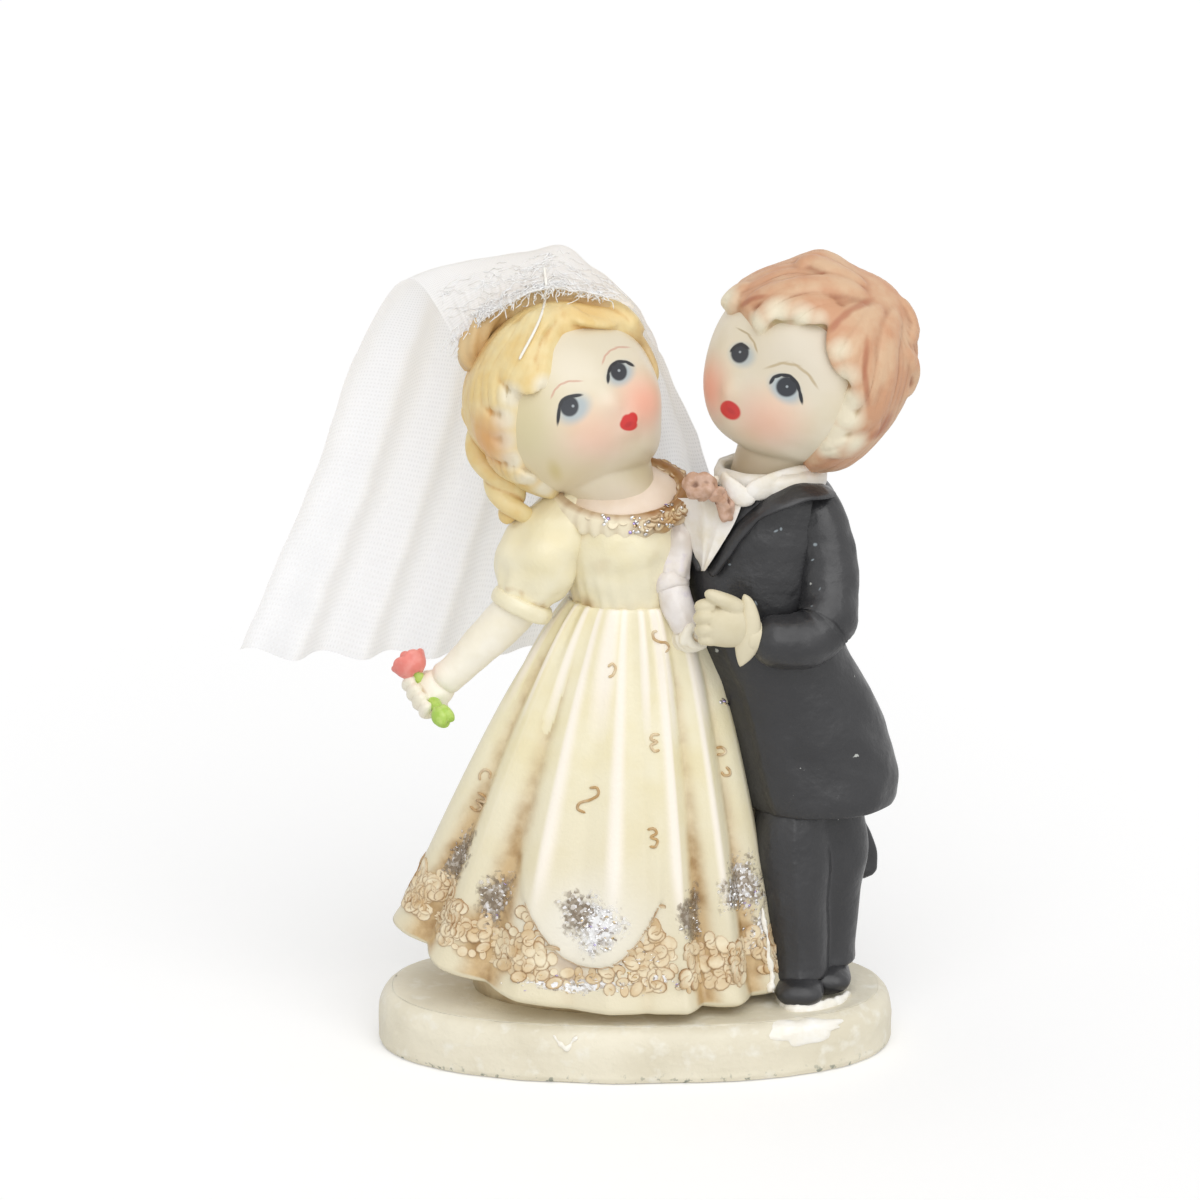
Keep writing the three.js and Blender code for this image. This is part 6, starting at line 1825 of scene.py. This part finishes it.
# %% Shirt front
SHIRT_LEFT = [(678, 498), (683, 520), (691, 545), (700, 571)]
SHIRT_RIGHT = [(744, 498), (735, 522), (721, 546), (705, 571)]
SHIRT_THICKNESS = 0.7
CHEST_FRONT, CHEST_SIDE = -7.2, -3.7
bm = bmesh.new()
bmesh.ops.create_grid(bm, x_segments=30, y_segments=40, size=0.5)
for vert in bm.verts:
    share, down = vert.co.x + 0.5, 0.5 - vert.co.y
    (u0, v0), (u1, v1) = along(SHIRT_LEFT, down), along(SHIRT_RIGHT, down)
    depth = CHEST_FRONT + (CHEST_SIDE - CHEST_FRONT) * (1 - share) ** 1.4
    spot = photo_plane(u0 + (u1 - u0) * share, v0 + (v1 - v0) * share, depth)
    placket = 0.25 * math.exp(-(((share - 0.42) / 0.07) ** 2)) - 0.2 * abs(math.sin(9 * share))
    vert.co = spot + (EYE - spot).normalized() * placket
bmesh.ops.recalc_face_normals(bm, faces=bm.faces)
if sum(face.normal.dot(EYE_BACK) for face in bm.faces) < 0:
    bmesh.ops.reverse_faces(bm, faces=bm.faces)
inner = bmesh.ops.extrude_face_region(bm, geom=bm.faces[:], use_keep_orig=True)["geom"]
for vert in inner:
    if isinstance(vert, bmesh.types.BMVert):
        vert.co -= EYE_BACK * SHIRT_THICKNESS
finish_piece(bm, "groom_pleated_shirt", white_enamel, ["groom_shirt_front"])

# %% Lapels
# Photo pixel, step in mm from the coat towards the eye, and half-width. The left lapel is broad
# where it rises in front of the collar's wall.
LAPELS = {"left": [(829, 489, 1, 1.7), (815, 490, 2, 2.1), (800, 491, 2.1, 2.1), (784, 498, 1.7, 2),
                   (768, 506, 1.2, 1.7), (752, 518, 0.4, 1.5), (737, 534, 0.3, 1.4),
                   (723, 555, 0.3, 1.4), (709, 575, 0.3, 1.4)],
          "right": [(686, 536, 0.3, 0.5), (689, 545, 0.3, 0.5), (694, 556, 0.3, 0.5),
                    (701, 571, 0.3, 0.5)]}
LAPEL_HALF_THICKNESS = 0.55
for side, pixels in LAPELS.items():
    stops = []
    for u, v, step, half_width in pixels:
        spot, _ = photo_spot(coat_surface, u, v, COAT_MIDDLE)
        spot += (EYE - spot).normalized() * step
        stops.append([*spot, half_width, LAPEL_HALF_THICKNESS])
    limb_piece(stops, f"groom_{side}_coat_lapel", black_enamel, "black_suit", [f"groom_{side}_lapel"],
               away=COAT_MIDDLE, sides=20, rings=60, cap=0.06)

# %% Collar
COLLAR_MIDDLE = GROOM_HIP + Vector((-5.8, -0.2, 38.4))
COLLAR_RADIUS = 6.5
COLLAR_THICKNESS = 0.9
# Height and flare of the collar's wall, from its lower edge to its upper edge.
COLLAR_WALL = [(0, -0.2), (1.2, 0.3), (2.4, 0.35), (3.4, -0.1)]
bm = bmesh.new()
wall = [bm.verts.new((COLLAR_RADIUS + flare, 0, height)) for height, flare in COLLAR_WALL]
edges = [bm.edges.new(pair) for pair in zip(wall, wall[1:])]
bmesh.ops.spin(bm, geom=wall + edges, cent=(0, 0, 0), axis=(0, 0, 1), angle=2 * math.pi, steps=72,
               use_merge=True)
bmesh.ops.recalc_face_normals(bm, faces=bm.faces)
bmesh.ops.solidify(bm, geom=bm.faces[:], thickness=COLLAR_THICKNESS)
for vert in bm.verts:
    vert.co += COLLAR_MIDDLE + Vector((0, 0, 0.25 * noise.noise(vert.co / 3)))

# The collar's two wings, the left one in two limbs: photo pixel, depth and half-width.
WINGS = [[(723, 472, -5.6, 0.5), (728, 484, -6.6, 1.1), (742, 497, -7, 1.2), (756, 500, -6.8, 0.5)],
         [(826, 470, -2, 0.6), (800, 475, -5, 1.2), (770, 486, -6.6, 1.5), (744, 494, -7, 1)],
         [(718, 476, -5.6, 0.4), (708, 490, -6, 0.9), (698, 500, -5.6, 0.5)]]
for wing in WINGS:
    stops = [[*photo_plane(u, v, y), half, 0.5] for u, v, y, half in wing]
    limb(bm, stops, across=(0, 0, 1), sides=16, rings=24, cap=0.14)
finish_piece(bm, "groom_wing_collar", white_enamel, ["groom_collar"])

# %% Bow tie
BOW_DEPTH = -7.2
# Each piece: photo pixel, step forward, half-height and half-thickness.
BOW = {"groom_bow_knot": [(713, 488, 0.2, 0.5, 0.6), (716, 495, 0.5, 1, 0.9), (718, 502, 0.2, 0.5, 0.6)],
       "groom_bow_left_wing": [(717, 494, 0, 0.7, 0.6), (722, 500, 0.3, 1, 0.8),
                               (726, 512, 0.2, 1.1, 0.7), (728, 522, 0, 0.5, 0.4)],
       "groom_bow_right_wing": [(715, 493, 0, 0.8, 0.7), (706, 488, 0.5, 1.5, 1),
                                (695, 487, 0.4, 1.7, 0.9), (684, 491, 0, 1.2, 0.5)]}


def in_front(rows, depth):
    """Rows of photo pixel, step forward from a depth and half-sizes, as rows of a limb."""
    return [[*photo_plane(u, v, depth - step), half, thick] for u, v, step, half, thick in rows]


for node, rows in BOW.items():
    limb_piece(in_front(rows, BOW_DEPTH), node + "_cast", dusty_pink, "dusty_pink", [node],
               rough=(0.45, 0.9), creases=(8, 0.15), across=(0.2, 0, 1), sides=28, rings=30, cap=0.16,
               swell=lambda share, turn: 1 + 0.13 * math.cos(4 * turn + 2 * share))

# %% [markdown]
# ## The groom's hands
# The left hand lies in front of the coat and holds the couple together: a block of a palm, short
# bent fingers, a straight thumb above, and the point of a cuff that hangs below it. The right
# hand is behind the bride's back, under the veil. Both are built as the bride's fists are.

# %% Hands and cuffs
HAND_DEPTH = -11
# Rows: photo pixel, step forward, half-height, half-thickness. All in front of the coat.
LEFT_PALM = [(746, 624, -0.3, 2.3, 1.3), (735, 626, 0.2, 2.6, 1.6), (718, 626, 0.4, 2.5, 1.7),
             (704, 625, 0.1, 2.1, 1.3)]
LEFT_FINGERS = [[(716, 606, 0.4, 0.85, 0.9), (704, 606, 0.6, 0.9, 0.95), (696, 609, 0.2, 0.7, 0.7)],
                [(714, 618, 0.8, 0.9, 0.9), (703, 617, 1.1, 0.9, 0.95), (696, 620, 0.4, 0.7, 0.7)],
                [(714, 629, 0.8, 0.9, 0.9), (704, 629, 1.1, 0.9, 0.95), (697, 632, 0.4, 0.7, 0.7)],
                [(716, 640, 0.6, 0.85, 0.9), (706, 639, 0.9, 0.8, 0.85), (700, 641, 0.3, 0.6, 0.6)]]
LEFT_THUMB = [(743, 611, 0.2, 1.1, 1), (730, 603, 0.8, 1, 0.95), (716, 597, 1.1, 0.85, 0.85),
              (704, 592, 0.9, 0.6, 0.6)]
LEFT_CUFF = [(744, 594, 0.1, 0.3, 0.4), (748, 606, 0.2, 0.9, 0.6), (750, 625, 0.4, 1.3, 0.8),
             (747, 645, 0.5, 1.5, 0.7), (740, 667, 0.2, 0.35, 0.3)]
# Rows of x, y, z and half-sizes from the hip: the band of the left cuff, and the right hand.
LEFT_BAND = [(-7, -10.3, 22.7, 1.8, 1.8), (-7.8, -10.4, 22.8, 2, 1.9), (-8.6, -10.5, 22.9, 2, 1.9),
             (-9.2, -10.6, 23, 1.7, 1.7)]
RIGHT_CUFF = [(-22.8, 10.3, 26.6, 2.4, 2.4), (-23.6, 10.2, 26.4, 2.8, 2.8), (-24.8, 10.1, 26.2, 2.8, 2.8),
              (-25.6, 10, 26, 2.3, 2.3)]
RIGHT_PALM = [(-24.6, 10.1, 26.2, 1.9, 1.3), (-26, 9.8, 26.1, 2.4, 1.3), (-28, 9.3, 26, 2.3, 1.2),
              (-29.2, 8.9, 26, 1.8, 0.9)]
RIGHT_THUMB = [(-26, 9.4, 28, 0.8, 0.8), (-27.8, 8.9, 29, 0.8, 0.8), (-29.2, 8.4, 29.2, 0.6, 0.6)]
RIGHT_FINGER_Z, RIGHT_FINGER_PITCH = 26, 1.25
UPRIGHT = (0, 0, 1)
HAND_VOXEL = 0.17

bm = bmesh.new()
limb(bm, in_front(LEFT_PALM, HAND_DEPTH), across=UPRIGHT, sides=28, rings=28, cap=0.2)
for rows in (*LEFT_FINGERS, LEFT_THUMB):
    limb(bm, in_front(rows, HAND_DEPTH), across=UPRIGHT, sides=16, rings=20, cap=0.2)
finish_piece(cast_as_one(bm, HAND_VOXEL, 3), "groom_left_cast_hand", dull_cream,
             ["groom_left_hand"], creases=(12, 0.2))
bm = bmesh.new()
limb(bm, in_front(LEFT_CUFF, HAND_DEPTH), sides=24, rings=40, cap=0.12)
limb(bm, shifted(LEFT_BAND, GROOM_HIP), across=UPRIGHT, sides=32, rings=24, cap=0.15)
finish_piece(bm, "groom_left_shirt_cuff", dull_cream, ["groom_left_cuff"],
             creases=(12, 0.3))

limb_piece(shifted(RIGHT_CUFF, GROOM_HIP), "groom_right_shirt_cuff", white_enamel, "white_shirt",
           ["groom_right_cuff"], across=UPRIGHT, sides=32, rings=24, cap=0.15)
bm = bmesh.new()
limb(bm, shifted(RIGHT_PALM, GROOM_HIP), across=UPRIGHT, sides=24, rings=24, cap=0.2)
fingers = []
for k in range(4):
    z = RIGHT_FINGER_Z + RIGHT_FINGER_PITCH * (k - 1.5)
    fingers.append([(-28, 9.3, z, 0.75, 0.75), (-30, 8.6, z, 0.75, 0.75), (-31.6, 7.8, z, 0.55, 0.55)])
for stops in (*fingers, RIGHT_THUMB):
    limb(bm, shifted(stops, GROOM_HIP), across=UPRIGHT, sides=14, rings=18, cap=0.18)
finish_piece(cast_as_one(bm, HAND_VOXEL, 3), "groom_right_cast_hand", bare_cream,
             ["groom_right_hand"], creases=(12, 0.2))
